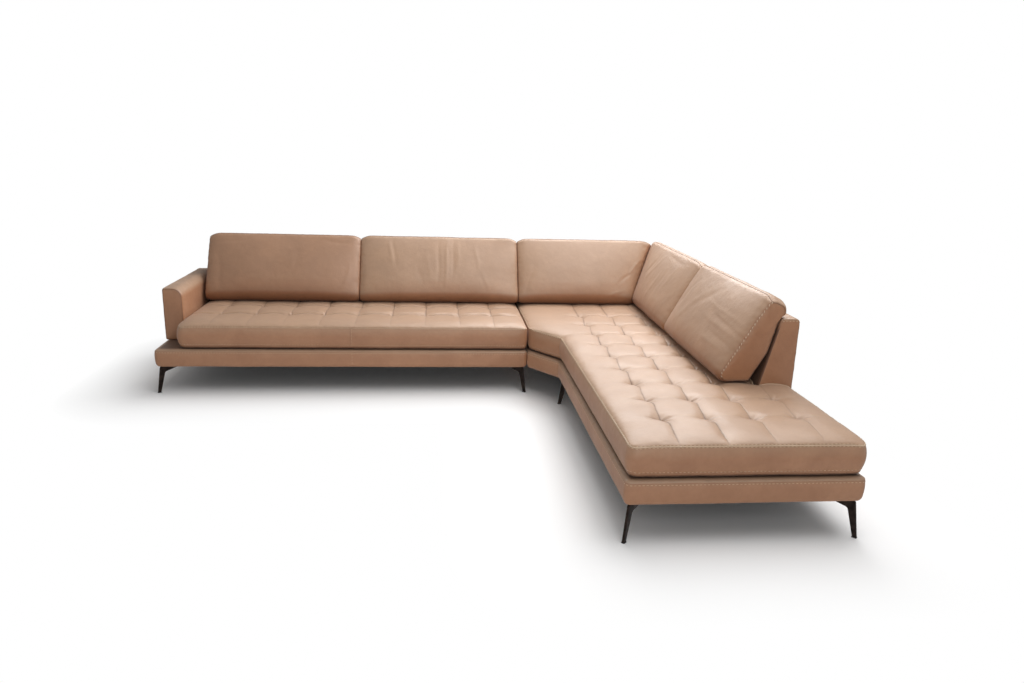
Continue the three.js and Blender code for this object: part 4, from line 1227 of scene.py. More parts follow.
@dataclass
class SeatCushion:
    """A boxed seat cushion over a bent plan grid: a tufted crown, swelling sides, a flat bottom."""

    name: str
    node: str
    tufting: Tufting
    columns: Array
    rows: Array
    present: Rule
    bend: Callable[[Array, Array, bool], tuple[Array, Array]]
    crown_share: Rule
    tufted_share: Rule
    swell_share: Rule
    corners: list[tuple[float, float]]
    seed: int
    panel_seams: Sequence[float] = ()
    broad: float = 0.0022
    broad_wave: float = 0.19
    swell: float = 0.011
    swell_power: float = 0.8
    sag: float = 0.006
    sag_reach: float = 0.055
    under_draw: float = 0.034
    front_band: float = 0.02
    # where the painted shade starts below the lower seam, and how far it takes to darken
    gap_shade_start: float = 0.002
    gap_shade_run: float = 0.012
    loop: Array = field(init=False)

    def _loop(self, indices: Array, cells: Array) -> Array:
        """The indices round the edge of the grid's faces.

        Args:
            indices: the grid's points.
            cells: which of its cells have a face.

        Returns:
            The indices, in walking order.
        """
        faces = cells_of(indices)[cells]
        start, end = faces.reshape(-1), np.roll(faces, -1, axis=1).reshape(-1)
        size = indices.size
        open_edges = ~np.isin(start * size + end, end * size + start)
        following = dict(zip(start[open_edges].tolist(), end[open_edges].tolist()))
        walk = [next(iter(following))]
        while following[walk[-1]] != walk[0]:
            walk.append(following[walk[-1]])
        return np.array(walk)

    def top(self) -> tuple[Array, Array, Array]:
        """The crown: a dome from each open edge, less the tufting, on the bent grid.

        Returns:
            The grid's points, its cells that exist, and the painted shade at each point.
        """
        x, y = np.meshgrid(self.columns, self.rows, indexing="ij")
        middles = [(lines[:-1] + lines[1:]) / 2 for lines in (self.columns, self.rows)]
        cells = self.present(*np.meshgrid(*middles, indexing="ij"))
        share = self.tufted_share(x, y)
        bowed, swayed = self.tufting.warp(x, y)
        depth, dark = self.tufting.relief(x, y)
        bowed, swayed = x + (bowed - x) * share, y + (swayed - y) * share
        flat_x, flat_y = self.bend(bowed, swayed, True)
        crown = self.crown_share(*self.bend(bowed, swayed, False))
        places = np.stack([flat_x, flat_y, 0 * flat_x], axis=-1)
        lift = SEAT_CROWN - depth * share + self.broad * Unevenness(self.seed).at(places, self.broad_wave)
        places[..., 2] = SEAT_UPPER_Z + lift * crown
        return places, cells, dark * share * crown

    def section(self) -> tuple[Array, Array]:
        """The boxing's section: a bulge between the seams, and a quarter ellipse to the bottom.

        Returns:
            How far each ring lies outside the upper seam and how far below it.
        """
        height = SEAT_UPPER_Z - SEAT_LOWER_Z
        drop = graded_lines(0, height, [], 0.008, (0, 0.0008, 0.0018, 0.003, 0.0045, 0.007))
        turn = np.linspace(0, np.pi / 2, 11)[1:]
        out = self.swell * np.sin(np.pi * drop / height) ** self.swell_power
        under = SEAT_LOWER_Z - SEAT_BOTTOM_Z
        return (
            np.concatenate([out, -self.under_draw * (1 - np.cos(turn))]),
            np.concatenate([drop, height + under * np.sin(turn)]),
        )

    def build(self) -> bpy.types.Object:
        """Joins the crown, the boxing and the bottom.

        Returns:
            The cushion.
        """
        points, cells, dark = self.top()
        rise = np.maximum(points[..., 2] - SEAT_UPPER_Z, 0)
        walk = self._loop(np.arange(points[..., 0].size).reshape(points.shape[:2]), cells)
        rim = self.loop = points.reshape(-1, 3)[walk]
        along = unit((np.roll(rim, -1, axis=0) - np.roll(rim, 1, axis=0))[:, :2])
        outward = np.stack([along[:, 1], -along[:, 0]], axis=1)
        height = SEAT_UPPER_Z - SEAT_LOWER_Z
        out, drop = (values[:, None] for values in self.section())
        bulge = np.maximum(out, 0) * self.swell_share(rim[:, 0], rim[:, 1])
        side = np.zeros((len(drop), len(rim), 3))
        side[..., :2] = rim[:, :2] + outward * (bulge + np.minimum(out, 0))[..., None]
        side[..., 2] = SEAT_UPPER_Z - drop
        for part in (side, points):
            part[..., 2] -= self.sagged(part)
        seams = np.minimum(drop, np.abs(drop - height)) * np.ones(len(rim))
        for seam_x in self.panel_seams:
            front = rim[:, 1] < rim[:, 1].min() + self.front_band
            beside = np.where(front & (drop <= height), np.abs(rim[:, 0] - seam_x), 1.0)
            seams = np.minimum(seams, beside)
        skin = Skin()
        # The crown carries the painted shade of the tufting's grooves and pins.
        skin.sheet(skin.add(points, rise * 1.1 + self._edge_gap(points), dark), keep=cells)
        # The boxing carries painted shade where it turns under, over the platform.
        walls = skin.add(side, seams, GAP_SHADE * ease((drop - height - self.gap_shade_start) / self.gap_shade_run))
        skin.sheet(walls, closed=True)
        skin.caps.append(walls[-1])
        relief = Relief(self.seed, broad=0.0013, groove=0.0007, pucker=0.0010, pucker_reach=0.018)
        piece = skin.build(self.name, LEATHER, relief)
        rework(piece.data, lambda solid: bmesh.ops.delete(
            solid, geom=[point for point in solid.verts if not point.link_faces], context="VERTS"
        ))
        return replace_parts(piece, self.node)

    def sagged(self, points: Array) -> Array:
        """How far the upper seam hangs at the corners: a bell round each, less towards the lower seam.

        Args:
            points: points of the cushion.

        Returns:
            One drop for each point.
        """
        share = np.clip((points[..., 2] - SEAT_LOWER_Z) / (SEAT_UPPER_Z - SEAT_LOWER_Z), 0, 1)
        gaps = [np.linalg.norm(points[..., :2] - np.array(corner), axis=-1) for corner in self.corners]
        return self.sag * sum(bell(gap, self.sag_reach) for gap in gaps) * share

    def _edge_gap(self, points: Array) -> Array:
        """Returns a small extra seam distance inside the crown, where the top lies flat."""
        return 0.02 * self.crown_share(points[..., 0], points[..., 1]) ** 2

    def seam(self, height: float) -> Array:
        """Returns the cushion's closed edge at a height, with its sag."""
        path = np.concatenate([self.loop, self.loop[:1]])
        path[:, 2] = height
        path[:, 2] -= self.sagged(path)
        return path

    def sew(self, piece: bpy.types.Object, thread: Stitching, low_thread: Stitching, welt: Piping) -> None:
        """Sews two rows at the upper seam with a welt between, and one over the lower seam.

        Args:
            piece: the cushion.
            thread: where the upper rows go.
            low_thread: where the lower row goes.
            welt: where the welt goes.
        """
        surface = Surface(piece)
        thread.row(surface, self.seam(SEAT_UPPER_Z + STITCH_GAP))
        thread.row(surface, self.seam(SEAT_UPPER_Z - STITCH_GAP))
        low_thread.row(surface, self.seam(SEAT_LOWER_Z + STITCH_GAP))
        edge = self.loop.copy()
        edge[:, 2] -= self.sagged(edge)
        welt.run(surface, edge, closed=True)
        front = self.loop[:, 1].min()
        for seam_x in self.panel_seams:
            ends = SEAT_LOWER_Z + 2 * STITCH_GAP, SEAT_UPPER_Z - 2 * STITCH_GAP
            low_thread.row(surface, np.array([[seam_x + STITCH_GAP, front, z] for z in ends]))


def rounded(
    x: Array, y: Array, corner_x: float, corner_y: float, radius: float, way: int = 1
) -> tuple[Array, Array]:
    """Bends a square corner of a grid, at the front of what it bounds, into a quarter circle.

    A place at shares a and b of the radius goes to a sqrt(1 - b b / 2) and b sqrt(1 - a a / 2).

    Args:
        x: plan places across.
        y: plan places along.
        corner_x: the corner's place across.
        corner_y: the corner's place along.
        radius: the circle's radius.
        way: the sign of the way inwards across.

    Returns:
        The bent places.
    """
    a = 1 - (x - corner_x) * way / radius
    b = 1 - (y - corner_y) / radius
    inside = (a > 0) & (b > 0)
    a, b = np.clip(a, 0, 1), np.clip(b, 0, 1)
    round_a, round_b = a * np.sqrt(1 - b * b / 2), b * np.sqrt(1 - a * a / 2)
    bent_x = np.where(inside, corner_x + (1 - round_a) * way * radius, x)
    return bent_x, np.where(inside, corner_y + (1 - round_b) * radius, y)


SEAM_DRAW = 0.007
SEAT_SET = 0.004 + SEAM_DRAW
SEAT_BACK = BACK_Y - PANEL_FOOT - SEATED_GAP - SEAM_DRAW
CROWN_RUN = 0.125
SEAT_LINES = (0.0098, (0.0, 0.0012, 0.0028, 0.005, 0.008, 0.012, 0.017, 0.023))


def domed(*gaps: Array) -> Array:
    """Returns the crown's share: domes over the distances from its open edges, multiplied."""
    return math.prod(dome(gap, CROWN_RUN) for gap in gaps)


@dataclass
class WingSeat:
    """The wing's seat cushion, from the arm to the module seam."""

    left: float = WING_SEAT_LOW.x + SEAM_DRAW - 0.008
    right: float = SEAM_X - MODULE_GAP / 2 - SEAM_DRAW
    front: float = FRONT_Y + SEAT_SET
    first_column: float = 0.211
    column_pitch: float = 0.213
    column_count: int = 9
    first_row: float = 0.296
    row_pitch: float = 0.238
    row_count: int = 2
    corner_radius: float = 0.024
    arm_corner_radius: float = 0.045
    thread_radius: float = 0.0006
    welt_radius: float = 0.0009

    def _bend(self, x: Array, y: Array, corners: bool) -> tuple[Array, Array]:
        """Returns the places, with both front corners rounded if so asked."""
        if corners:
            x, y = rounded(x, y, self.left, self.front, self.arm_corner_radius)
            x, y = rounded(x, y, self.right, self.front, self.corner_radius, -1)
        return x, y

    def _crown(self, x: Array, y: Array) -> Array:
        """Returns the crown's share over its three open edges."""
        return domed(x - self.left, self.right - x, y - self.front)

    def cushion(self) -> SeatCushion:
        """Returns the cushion over the wing's grid."""
        columns = SEAM_X - self.first_column - self.column_pitch * np.arange(self.column_count)[::-1]
        rows = FRONT_Y + self.first_row + self.row_pitch * np.arange(self.row_count)
        shares = 0.85 * np.array([0.8, 0.9, 0.85, 1.0, 0.9, 1.0, 0.95, 1.0, 1.0])
        tufting = Tufting(
            columns, rows, self.front, SEAT_BACK, 0.004, 0.024, 31, shares,
            front_share=0.5, cross_share=1.2, cross_least=0.45, cross_depth=0.0115, cross_run=0.12,
        )
        return SeatCushion(
            name="wing_seat",
            node="wing_seat_cushion",
            tufting=tufting,
            columns=graded_lines(self.left, self.right, columns, *SEAT_LINES),
            rows=graded_lines(self.front, SEAT_BACK, rows, *SEAT_LINES),
            present=lambda x, y: np.ones(x.shape, bool),
            bend=self._bend,
            crown_share=self._crown,
            tufted_share=lambda x, y: np.ones(x.shape),
            swell_share=lambda x, y: 0.5 + 0.5 * ease((self.right - 0.01 - x) / 0.05),
            corners=[(self.left, self.front)],
            seed=41,
            panel_seams=(PANEL_SEAM_X,),
        )


@dataclass
class ChaiseSeat:
    """The corner and chaise seat cushion: chamfered at the inner corner, stepped at the side back."""

    seam: float = SEAM_X + MODULE_GAP / 2 + SEAM_DRAW
    left: float = INNER_X + SEAT_SET
    right: float = CHAISE_HIGH.x - SEAT_SET
    narrow: float = CHAISE_HIGH.x - PANEL_FOOT - SEATED_GAP - SEAM_DRAW
    front: float = CHAISE_LOW.y + SEAT_SET
    step: float = SIDE_BACK_LOW.y - SEATED_GAP - SEAM_DRAW
    chamfer: float = CHAMFER_Y + SEAT_SET
    seam_front: float = FRONT_Y + SEAT_SET
    first_column: float = 0.208
    column_pitch: float = 0.199
    column_count: int = 4
    first_row: float = 0.276
    row_pitch: float = 0.238
    row_count: int = 9
    corner_radius: float = 0.040
    seam_radius: float = 0.036
    pinch: float = 0.012
    pinch_reach: float = 0.05
    thread_radius: float = 0.0012
    welt_radius: float = 0.0022

    def _bend(self, x: Array, y: Array, corners: bool) -> tuple[Array, Array]:
        """The corners rounded, and the corner region slid forward along the chamfer.

        Args:
            x: plan places across.
            y: plan places along.
            corners: whether the outer corners are rounded.

        Returns:
            The bent places.
        """
        if corners:
            x, y = rounded(x, y, self.left, self.front, self.corner_radius)
            x, y = rounded(x, y, self.right, self.front, self.corner_radius, -1)
            x, y = rounded(x, y, self.seam, self.chamfer, self.seam_radius)
        corner = (x < self.left) & (y >= self.chamfer - WELD)
        share = (y - self.chamfer) / (SEAT_BACK - self.chamfer)
        across = np.clip((x - self.left) / (self.seam - self.left), 0, 1)
        start = self.chamfer + (self.seam_front - self.chamfer) * across
        return x, np.where(corner, start + (SEAT_BACK - start) * share, y)

    def _crown(self, x: Array, y: Array) -> Array:
        """The crown's share: domes from each open edge, multiplied.

        Near the inner corner the distance d to the edge is eased to sqrt(d * d + e * e) - e, where
        e is a bell round the corner, so that the crown starts there without a peak.

        Args:
            x: plan places across.
            y: plan places along.

        Returns:
            Shares from 0 to 1.
        """
        run, fall = self.left - self.seam, self.seam_front - self.chamfer
        off_x, off_y = x - self.left, y - self.chamfer
        round_corner = np.hypot(off_x, off_y)
        up_chamfer = fall * off_y - run * off_x > 0
        off_chamfer = np.maximum((fall * off_x + run * off_y) / math.hypot(run, fall), 0)
        inner = np.where(off_y < 0, off_x, np.where(up_chamfer, off_chamfer, round_corner))
        eased = self.pinch * bell(round_corner, self.pinch_reach)
        return domed(
            np.hypot(inner, eased) - eased,
            np.hypot(x - self.seam, np.maximum(self.seam_front - y, 0)),
            np.hypot(self.right - x, np.maximum(y - self.step, 0)),
            y - self.front,
        )

    def _present(self, x: Array, y: Array) -> Array:
        """Returns which cells exist: none before the chamfer nor beside the step."""
        return ((x > self.left) | (y > self.chamfer)) & ((x < self.narrow) | (y < self.step))

    def cushion(self) -> SeatCushion:
        """Returns the cushion over the chaise's grid."""
        columns = INNER_X + self.first_column + self.column_pitch * np.arange(self.column_count)
        rows = CHAISE_LOW.y + self.first_row + self.row_pitch * np.arange(self.row_count)
        shares = np.array([1.0, 1.0, 0.7, 0.4])
        across = graded_lines(self.left, self.right, [*columns, self.narrow], *SEAT_LINES)
        corner = graded_lines(self.seam, self.left, [], *SEAT_LINES)
        return SeatCushion(
            name="chaise_seat",
            node="chaise_seat_cushion",
            tufting=Tufting(columns, rows, self.front, SEAT_BACK, 0.017, 0.007, 37, shares),
            columns=np.concatenate([corner, across[1:]]),
            rows=graded_lines(self.front, SEAT_BACK, [*rows, self.step, self.chamfer], *SEAT_LINES),
            present=self._present,
            bend=self._bend,
            crown_share=self._crown,
            tufted_share=lambda x, y: ease((x - self.left - 0.06) / 0.09),
            swell_share=lambda x, y: 0.5 + 0.5 * ease((x - self.seam - 0.01) / 0.05),
            corners=[(self.left, self.front), (self.right, self.front)],
            seed=43,
        )


# Lofted upholstery: back cushions, back panels and the arm


class End(Enum):
    """The two ends of a lofted piece."""

    START = 0
    FINISH = 1


@dataclass
class Loft:
    """A section carried from a start to an end, with its ends drawn in and closed by puffed faces."""

    outline: RoundedOutline
    start: Rule
    finish: Rule
    place: Callable[[Array, Array, Array], Array]
    length: float
    puffs: tuple[float, float]
    end_draw: float
    end_run: float
    spacing: float = 0.010
    shape: Callable[[Array, Array, Array], tuple[Array, Array]] | None = None
    seam_place: tuple[float, float] | None = None
    shade: Rule = level(0.0)

    def stations(self) -> Array:
        """Returns the places of the section along the piece, closest at both ends."""
        near = (0, 0.0012, 0.0028, 0.005, 0.008, 0.012, 0.017, 0.023, 0.031)
        return graded_lines(0, self.length, [], self.spacing, near)

    def section(self, inset: Array, along: Array) -> tuple[Array, Array]:
        """The section at several insets.

        Args:
            inset: one inset for each station.
            along: each station's place as a share of the length.

        Returns:
            Depths and heights, of shape (stations, points).
        """
        ring, normals = self.outline.ring()
        depth = ring[:, 0] - normals[:, 0] * inset[:, None]
        height = ring[:, 1] - normals[:, 1] * inset[:, None]
        if self.shape is not None:
            depth, height = self.shape(depth, height, along[:, None] + 0 * depth)
        return depth, height

    def body(self) -> tuple[Array, Array]:
        """The surface between the ends: near an end the section shrinks by a quarter ellipse.

        Returns:
            The points and their distances to the nearest end seam.
        """
        marks = self.stations()
        gap = np.minimum(marks, self.length - marks)
        inset = self.end_draw * (1 - dome(gap, self.end_run))
        share = marks / self.length
        depth, height = self.section(inset, share)
        first, last = self.start(depth, height), self.finish(depth, height)
        return self.place(first + (last - first) * share[:, None], depth, height), gap

    def _edge(self, end: End, depth: Array, height: Array) -> Array:
        """Returns where an end lies along the piece."""
        return (self.start if end is End.START else self.finish)(depth, height)

    def rim(self, end: End, onto_end: float = 0.0) -> Array:
        """A ring at an end.

        Args:
            end: which end.
            onto_end: how far it lies inside the end face's edge.

        Returns:
            The ring's points.
        """
        place = self.section(np.array([self.end_draw + onto_end]), np.array([float(end.value)]))
        return self.place(self._edge(end, *place), *place)[0]

    def face(self, end: End) -> tuple[Array, Array]:
        """The face that closes an end: rings that shrink to the middle and rise by a parabola.

        Args:
            end: which end.

        Returns:
            The points and their distances to the end seam.
        """
        close = [1, 0.992, 0.982, 0.968, 0.95, 0.92, 0.88, 0.82]
        shrink = np.array([*close, 0.74, 0.64, 0.52, 0.38, 0.22, 0.1, 0])[:, None]
        place = self.section(np.array([self.end_draw]), np.array([float(end.value)]))
        middles = [values.mean() for values in place]
        rings = [middle + (values - middle) * shrink for middle, values in zip(middles, place)]
        rise = (2 * end.value - 1) * self.puffs[end.value] * (1 - shrink**4)
        reach = np.hypot(*(values - middle for middle, values in zip(middles, place))).mean()
        return self.place(self._edge(end, *rings) + rise, *rings), (1 - shrink) * reach

    def skin(self) -> Skin:
        """The whole surface: the body and both faces.

        Returns:
            The gathered surface.
        """
        made = Skin()
        points, gap = self.body()
        seams = gap[:, None]
        ring, _ = self.outline.ring()
        if self.seam_place is not None:
            off_seam = np.linalg.norm(ring - ring[nearest(ring, self.seam_place)], axis=1)
            seams = np.minimum(seams, off_seam)
        made.sheet(made.add(points, seams, self.shade(ring[:, 0], ring[:, 1])), closed=True)
        for end in End:
            indices = made.add(*self.face(end))
            made.sheet(indices if end is End.FINISH else indices[::-1], closed=True)
        return made


@dataclass
class Backrest:
    """A lofted piece of a row of backs, between two ends."""

    name: str
    node: str
    row: Row
    start: Rule
    finish: Rule
    length: float
    seed: int
    puffs: tuple[float, float] = (0.0005, 0.0005)
    open_ends: tuple[End, ...] = ()

    def outline(self) -> RoundedOutline:
        """Returns the cross-section."""
        raise NotImplementedError

    def lofted(self, **rules: object) -> Loft:
        """Returns the surface rule, with what its kind adds."""
        ends = self.start, self.finish
        return Loft(self.outline(), *ends, self.row.place, self.length, self.puffs, **rules)


@dataclass(frozen=True)
class Fold:
    """A soft fold on a cushion's face: from one place to another, with a width and a height.

    Places are shares: along the cushion, and up its face.
    """

    start: tuple[float, float]
    end: tuple[float, float]
    width: float
    height: float


FOLDS = {
    "corner_cushion": (
        Fold((0.93, 0.42), (0.99, 0.78), 0.009, 0.0030),
        Fold((0.86, 0.30), (0.95, 0.52), 0.010, -0.0026),
        Fold((0.78, 0.10), (0.93, 0.24), 0.012, 0.0022),
        Fold((0.05, 0.12), (0.14, 0.60), 0.016, -0.0016),
    ),
    "outer_cushion": (
        Fold((0.10, 0.15), (0.07, 0.75), 0.018, -0.0024),
        Fold((0.90, 0.20), (0.94, 0.62), 0.014, 0.0024),
        Fold((0.55, 0.30), (0.60, 0.80), 0.022, -0.0016),
        Fold((0.05, 0.88), (0.30, 0.93), 0.012, -0.0016),
        Fold((0.72, 0.93), (0.95, 0.88), 0.012, -0.0016),
    ),
    "inner_cushion": (
        Fold((0.18, 1.00), (0.195, 0.58), 0.009, 0.0024),
        Fold((0.205, 0.98), (0.22, 0.50), 0.010, -0.0020),
        Fold((0.50, 1.00), (0.485, 0.25), 0.009, -0.0026),
        Fold((0.555, 1.02), (0.53, 0.22), 0.009, 0.0030),
        Fold((0.595, 1.02), (0.575, 0.32), 0.009, -0.0024),
        Fold((0.625, 0.98), (0.61, 0.50), 0.008, 0.0018),
        Fold((0.725, 0.95), (0.745, 0.45), 0.010, 0.0020),
        Fold((0.77, 0.50), (0.81, 0.16), 0.011, 0.0020),
        Fold((0.42, 0.78), (0.44, 0.28), 0.013, 0.0014),
        Fold((0.36, 0.60), (0.39, 0.22), 0.014, -0.0012),
    ),
    "side_inner_cushion": (
        Fold((0.18, 0.50), (0.34, 0.86), 0.013, -0.0030),
        Fold((0.25, 0.48), (0.44, 0.90), 0.015, 0.0024),
        Fold((0.40, 0.26), (0.54, 0.70), 0.022, 0.0020),
        Fold((0.54, 0.34), (0.64, 0.80), 0.020, -0.0016),
        Fold((0.68, 0.45), (0.75, 0.84), 0.020, 0.0013),
        Fold((0.45, 0.93), (0.85, 0.90), 0.014, -0.0018),
    ),
    "side_outer_cushion": (
        Fold((0.46, 0.70), (0.98, 0.62), 0.010, 0.0012),
        Fold((0.58, 0.62), (1.00, 0.51), 0.009, -0.0015),
        Fold((0.50, 0.55), (0.96, 0.47), 0.011, 0.0014),
        Fold((0.66, 0.44), (1.00, 0.36), 0.010, -0.0012),
        Fold((0.62, 0.34), (0.94, 0.30), 0.012, 0.0010),
        Fold((0.30, 0.50), (0.56, 0.90), 0.022, -0.0017),
        Fold((0.16, 0.26), (0.40, 0.76), 0.028, 0.0018),
        Fold((0.06, 0.40), (0.18, 0.86), 0.020, -0.0015),
    ),
}


@dataclass
class BackCushion(Backrest):
    """A loose leaning cushion: a crowned face, a round top that hooks over the panel, flat ends."""

    foot_drift: Callable[[Array], Array] = np.zeros_like
    # which copy of the leather: the plain one, or a darker one as painted shade
    lit_leather: Leather = LEATHER
    wedge_gap: float = WING_WEDGE
    lean: float = 0.242
    rise: float = 0.424
    apex_run: float = 0.034
    apex_rise: float = 0.006
    welt_run: float = 0.012
    overhang: float = 0.026
    shoulder: float = 0.018
    back_height: float = 0.056
    contact_height: float = 0.150
    face_crown: float = 0.039
    crown_reach: float = 0.110
    crown_power: float = 3.4
    rise_power: float = 2.4
    low_power: float = 2.1
    fullest: float = 0.35
    fold_sway: float = 0.006
    top_drop: float = 0.013
    top_drop_reach: float = 0.04
    top_drop_start: float = 0.72
    foot_shade: float = 0.50
    foot_shade_top: float = 0.115
    foot_shade_run: float = 0.11
    wedge_shade: float = 0.85
    wedge_start: float = 0.11

    @property
    def face_foot(self) -> float:
        """The depth of the face's foot."""
        return self.row.depth - PANEL_FOOT - self.wedge_gap - CUSHION_FOOT

    @property
    def welt_place(self) -> tuple[float, float]:
        """The depth and the height of the welt along the top."""
        depth = self.face_foot + self.lean + self.welt_run
        return depth, CUSHION_FOOT_Z + self.rise + self.apex_rise

    def outline(self) -> RoundedOutline:
        """The cross-section: up the face, over the top and down along the panel.

        Returns:
            The outline, with its depths across and its heights along.
        """
        contact = CUSHION_FOOT_Z + self.contact_height
        panel_top = self.row.panel_inner(PANEL_TOP_Z)
        back = panel_top + self.overhang
        shoulder = PANEL_TOP_Z + self.shoulder
        top = CUSHION_FOOT_Z + self.rise
        face_top = self.face_foot + self.lean
        corners = [
            Corner(self.face_foot, CUSHION_FOOT_Z, 0.044),
            Corner(self.face_foot + CUSHION_FOOT, CUSHION_FOOT_Z, 0.018),
            Corner(self.row.panel_inner(contact) - SEATED_GAP, contact, 0.04),
            Corner(panel_top - SEATED_GAP, PANEL_TOP_Z + SEATED_GAP, 0.012),
            Corner(back, shoulder, 0.016),
            Corner(back, shoulder + self.back_height, 0.044),
            Corner(face_top + self.apex_run, top + self.apex_rise, 0.05),
            Corner(face_top, top, 0.030),
        ]
        return RoundedOutline(corners, spacing=0.0095, arc_steps=7)

    def _folded(self, along: Array, up: Array) -> Array:
        """The push of the folds: each is a bell round its swaying line, tapered to its ends.

        Args:
            along: shares along the cushion.
            up: shares up its face.

        Returns:
            Metres outwards.
        """
        slope = math.hypot(self.lean, self.rise)
        push = np.zeros(along.shape)
        for fold in FOLDS[self.name]:
            (u0, v0), (u1, v1) = fold.start, fold.end
            run_u, run_v = (u1 - u0) * self.length, (v1 - v0) * slope
            reach = math.hypot(run_u, run_v)
            off_u, off_v = (along - u0) * self.length, (up - v0) * slope
            share = (off_u * run_u + off_v * run_v) / reach**2
            aside = (off_u * run_v - off_v * run_u) / reach
            aside = aside + self.fold_sway * np.sin(share * 5 + self.seed)
            taper = np.clip(np.sin(np.pi * np.clip(share, 0, 1)), 0, 1) ** 0.7
            push += fold.height * bell(aside, fold.width) * taper
        return push

    def _shape(self, depth: Array, height: Array, along: Array) -> tuple[Array, Array]:
        """Crowns the face, lowers the top corners and lays the folds.

        The push runs along the face's normal. The crown is one less a power of the distance from
        the fullest height of the face, times the same the other way.

        Args:
            depth: depths of the section's points.
            height: their heights.
            along: their shares along the cushion.

        Returns:
            The new depths and heights.
        """
        slope = math.hypot(self.lean, self.rise)
        out_depth, out_height = -self.rise / slope, self.lean / slope
        over = (height - CUSHION_FOOT_Z) / self.rise
        up = np.clip(over, 0, 1)
        drift = self.foot_drift(along) * np.clip(1 - over, 0, 1)
        behind = (self.face_foot - depth) * out_depth + (CUSHION_FOOT_Z - height) * out_height
        near = np.maximum(1 - behind / self.crown_reach, 0)
        low = up < self.fullest
        off = np.where(low, 1 - up / self.fullest, (up - self.fullest) / (1 - self.fullest))
        fullness = 1 - off ** np.where(low, self.low_power, self.rise_power)
        swell = fullness * (1 - np.abs(2 * along - 1) ** self.crown_power)
        push = self.face_crown * near * swell + self._folded(along, up) * np.clip(near * 1.5, 0, 1)
        gap = np.minimum(along, 1 - along) * self.length
        corner = ease((up - self.top_drop_start) / (1 - self.top_drop_start))
        drop = self.top_drop * bell(gap, self.top_drop_reach) * corner
        return depth + drift + out_depth * push, height + out_height * push - drop

    def _shade(self, depth: Array, height: Array) -> Array:
        """Returns the painted shade: towards the foot, and in the wedge before the panel."""
        over = height - CUSHION_FOOT_Z
        behind = depth - self.face_foot - self.lean * over / self.rise
        wedge = (behind > self.wedge_start) & (height < PANEL_TOP_Z)
        foot = ease((self.foot_shade_top - over) / self.foot_shade_run)
        return np.maximum(self.foot_shade * foot, self.wedge_shade * wedge)

    def loft(self) -> Loft:
        """Returns the cushion's surface rule."""
        rules = {"shape": self._shape, "seam_place": self.welt_place, "shade": self._shade}
        return self.lofted(end_draw=0.015, end_run=0.048, **rules)

    def build(self) -> bpy.types.Object:
        """Makes the cushion.

        Returns:
            The cushion.
        """
        relief = Relief(self.seed, 0.0022, 0.0005, pucker=0.0012, pucker_reach=0.022, broad_wave=0.16)
        piece = self.loft().skin().build(self.name, self.lit_leather, relief)
        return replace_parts(piece, self.node)

    def trim(self, piece: bpy.types.Object, piping: Piping, whip: Stitching) -> None:
        """Lays the welt along the top, and whip stitches and a welt down the open ends.

        Args:
            piece: the cushion.
            piping: where the welts go.
            whip: where the whip stitches go.
        """
        surface = Surface(piece)
        loft = self.loft()
        points, _ = loft.body()
        ring, _ = loft.outline.ring()
        seam = nearest(ring, self.welt_place)
        foot = nearest(ring, (self.face_foot, CUSHION_FOOT_Z + 0.02))
        piping.run(surface, points[:, seam])
        for end in self.open_ends:
            rim = loft.rim(end)
            whip.row(surface, np.concatenate([rim[seam:], rim[: foot + 1]]))
            piping.run(surface, rim[foot : seam + 1])


@dataclass
class BackPanel(Backrest):
    """An upright back in leather that leans on its inner face, padded over a timber board."""

    puffs: tuple[float, float] = (0.001, 0.001)
    edge_radius: float = 0.016
    outer_radius: float = 0.024
    seam_drop: float = 0.028
    stitch_drop: float = 0.034
    end_draw: float = 0.006

    def outline(self) -> RoundedOutline:
        """The cross-section: up the outside, over the top and down the leaning inside.

        Returns:
            The outline, with its depths across and its heights along.
        """
        foot = PLATFORM_TOP_Z + SEATED_GAP
        depth = self.row.depth
        corners = [
            Corner(depth - PANEL_FOOT, foot, self.edge_radius / 2),
            Corner(depth, foot, self.edge_radius / 2),
            Corner(depth, PANEL_TOP_Z, self.outer_radius),
            Corner(depth - PANEL_THICKNESS, PANEL_TOP_Z, self.edge_radius),
            Corner(depth - PANEL_FOOT, PLATFORM_TOP_Z + PANEL_KNEE, 0.05),
        ]
        return RoundedOutline(corners, spacing=0.012, arc_steps=7)

    def _shade(self, depth: Array, height: Array) -> Array:
        """Returns the painted shade on the inside, behind the cushions."""
        inside = depth < self.row.depth - PANEL_THICKNESS + 0.002
        return GAP_SHADE * inside * ease((PANEL_TOP_Z - 0.02 - height) / 0.05)

    def loft(self) -> Loft:
        """Returns the panel's surface rule."""
        seam = self.row.depth, PANEL_TOP_Z - self.seam_drop
        return self.lofted(
            end_draw=self.end_draw, end_run=0.012, spacing=0.014, seam_place=seam, shade=self._shade
        )

    def build(self) -> bpy.types.Object:
        """Makes the panel.

        Returns:
            The panel.
        """
        relief = Relief(self.seed, broad=0.0014, pucker=0.0007, broad_wave=0.2)
        piece = self.loft().skin().build(self.name, LEATHER, relief)
        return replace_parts(piece, self.node)

    def sew(self, piece: bpy.types.Object, thread: Stitching) -> None:
        """Sews a row under the top edge of the outside, and one round each open end.

        Args:
            piece: the panel.
            thread: where the rows go.
        """
        surface = Surface(piece)
        loft = self.loft()
        points, _ = loft.body()
        ring, _ = loft.outline.ring()
        line = nearest(ring, (self.row.depth, PANEL_TOP_Z - self.stitch_drop))
        thread.row(surface, points[:, line])
        for end in self.open_ends:
            rim = loft.rim(end, onto_end=self.end_draw)
            thread.row(surface, rim[rim[:, 2] > PANEL_TOP_Z - 0.014])


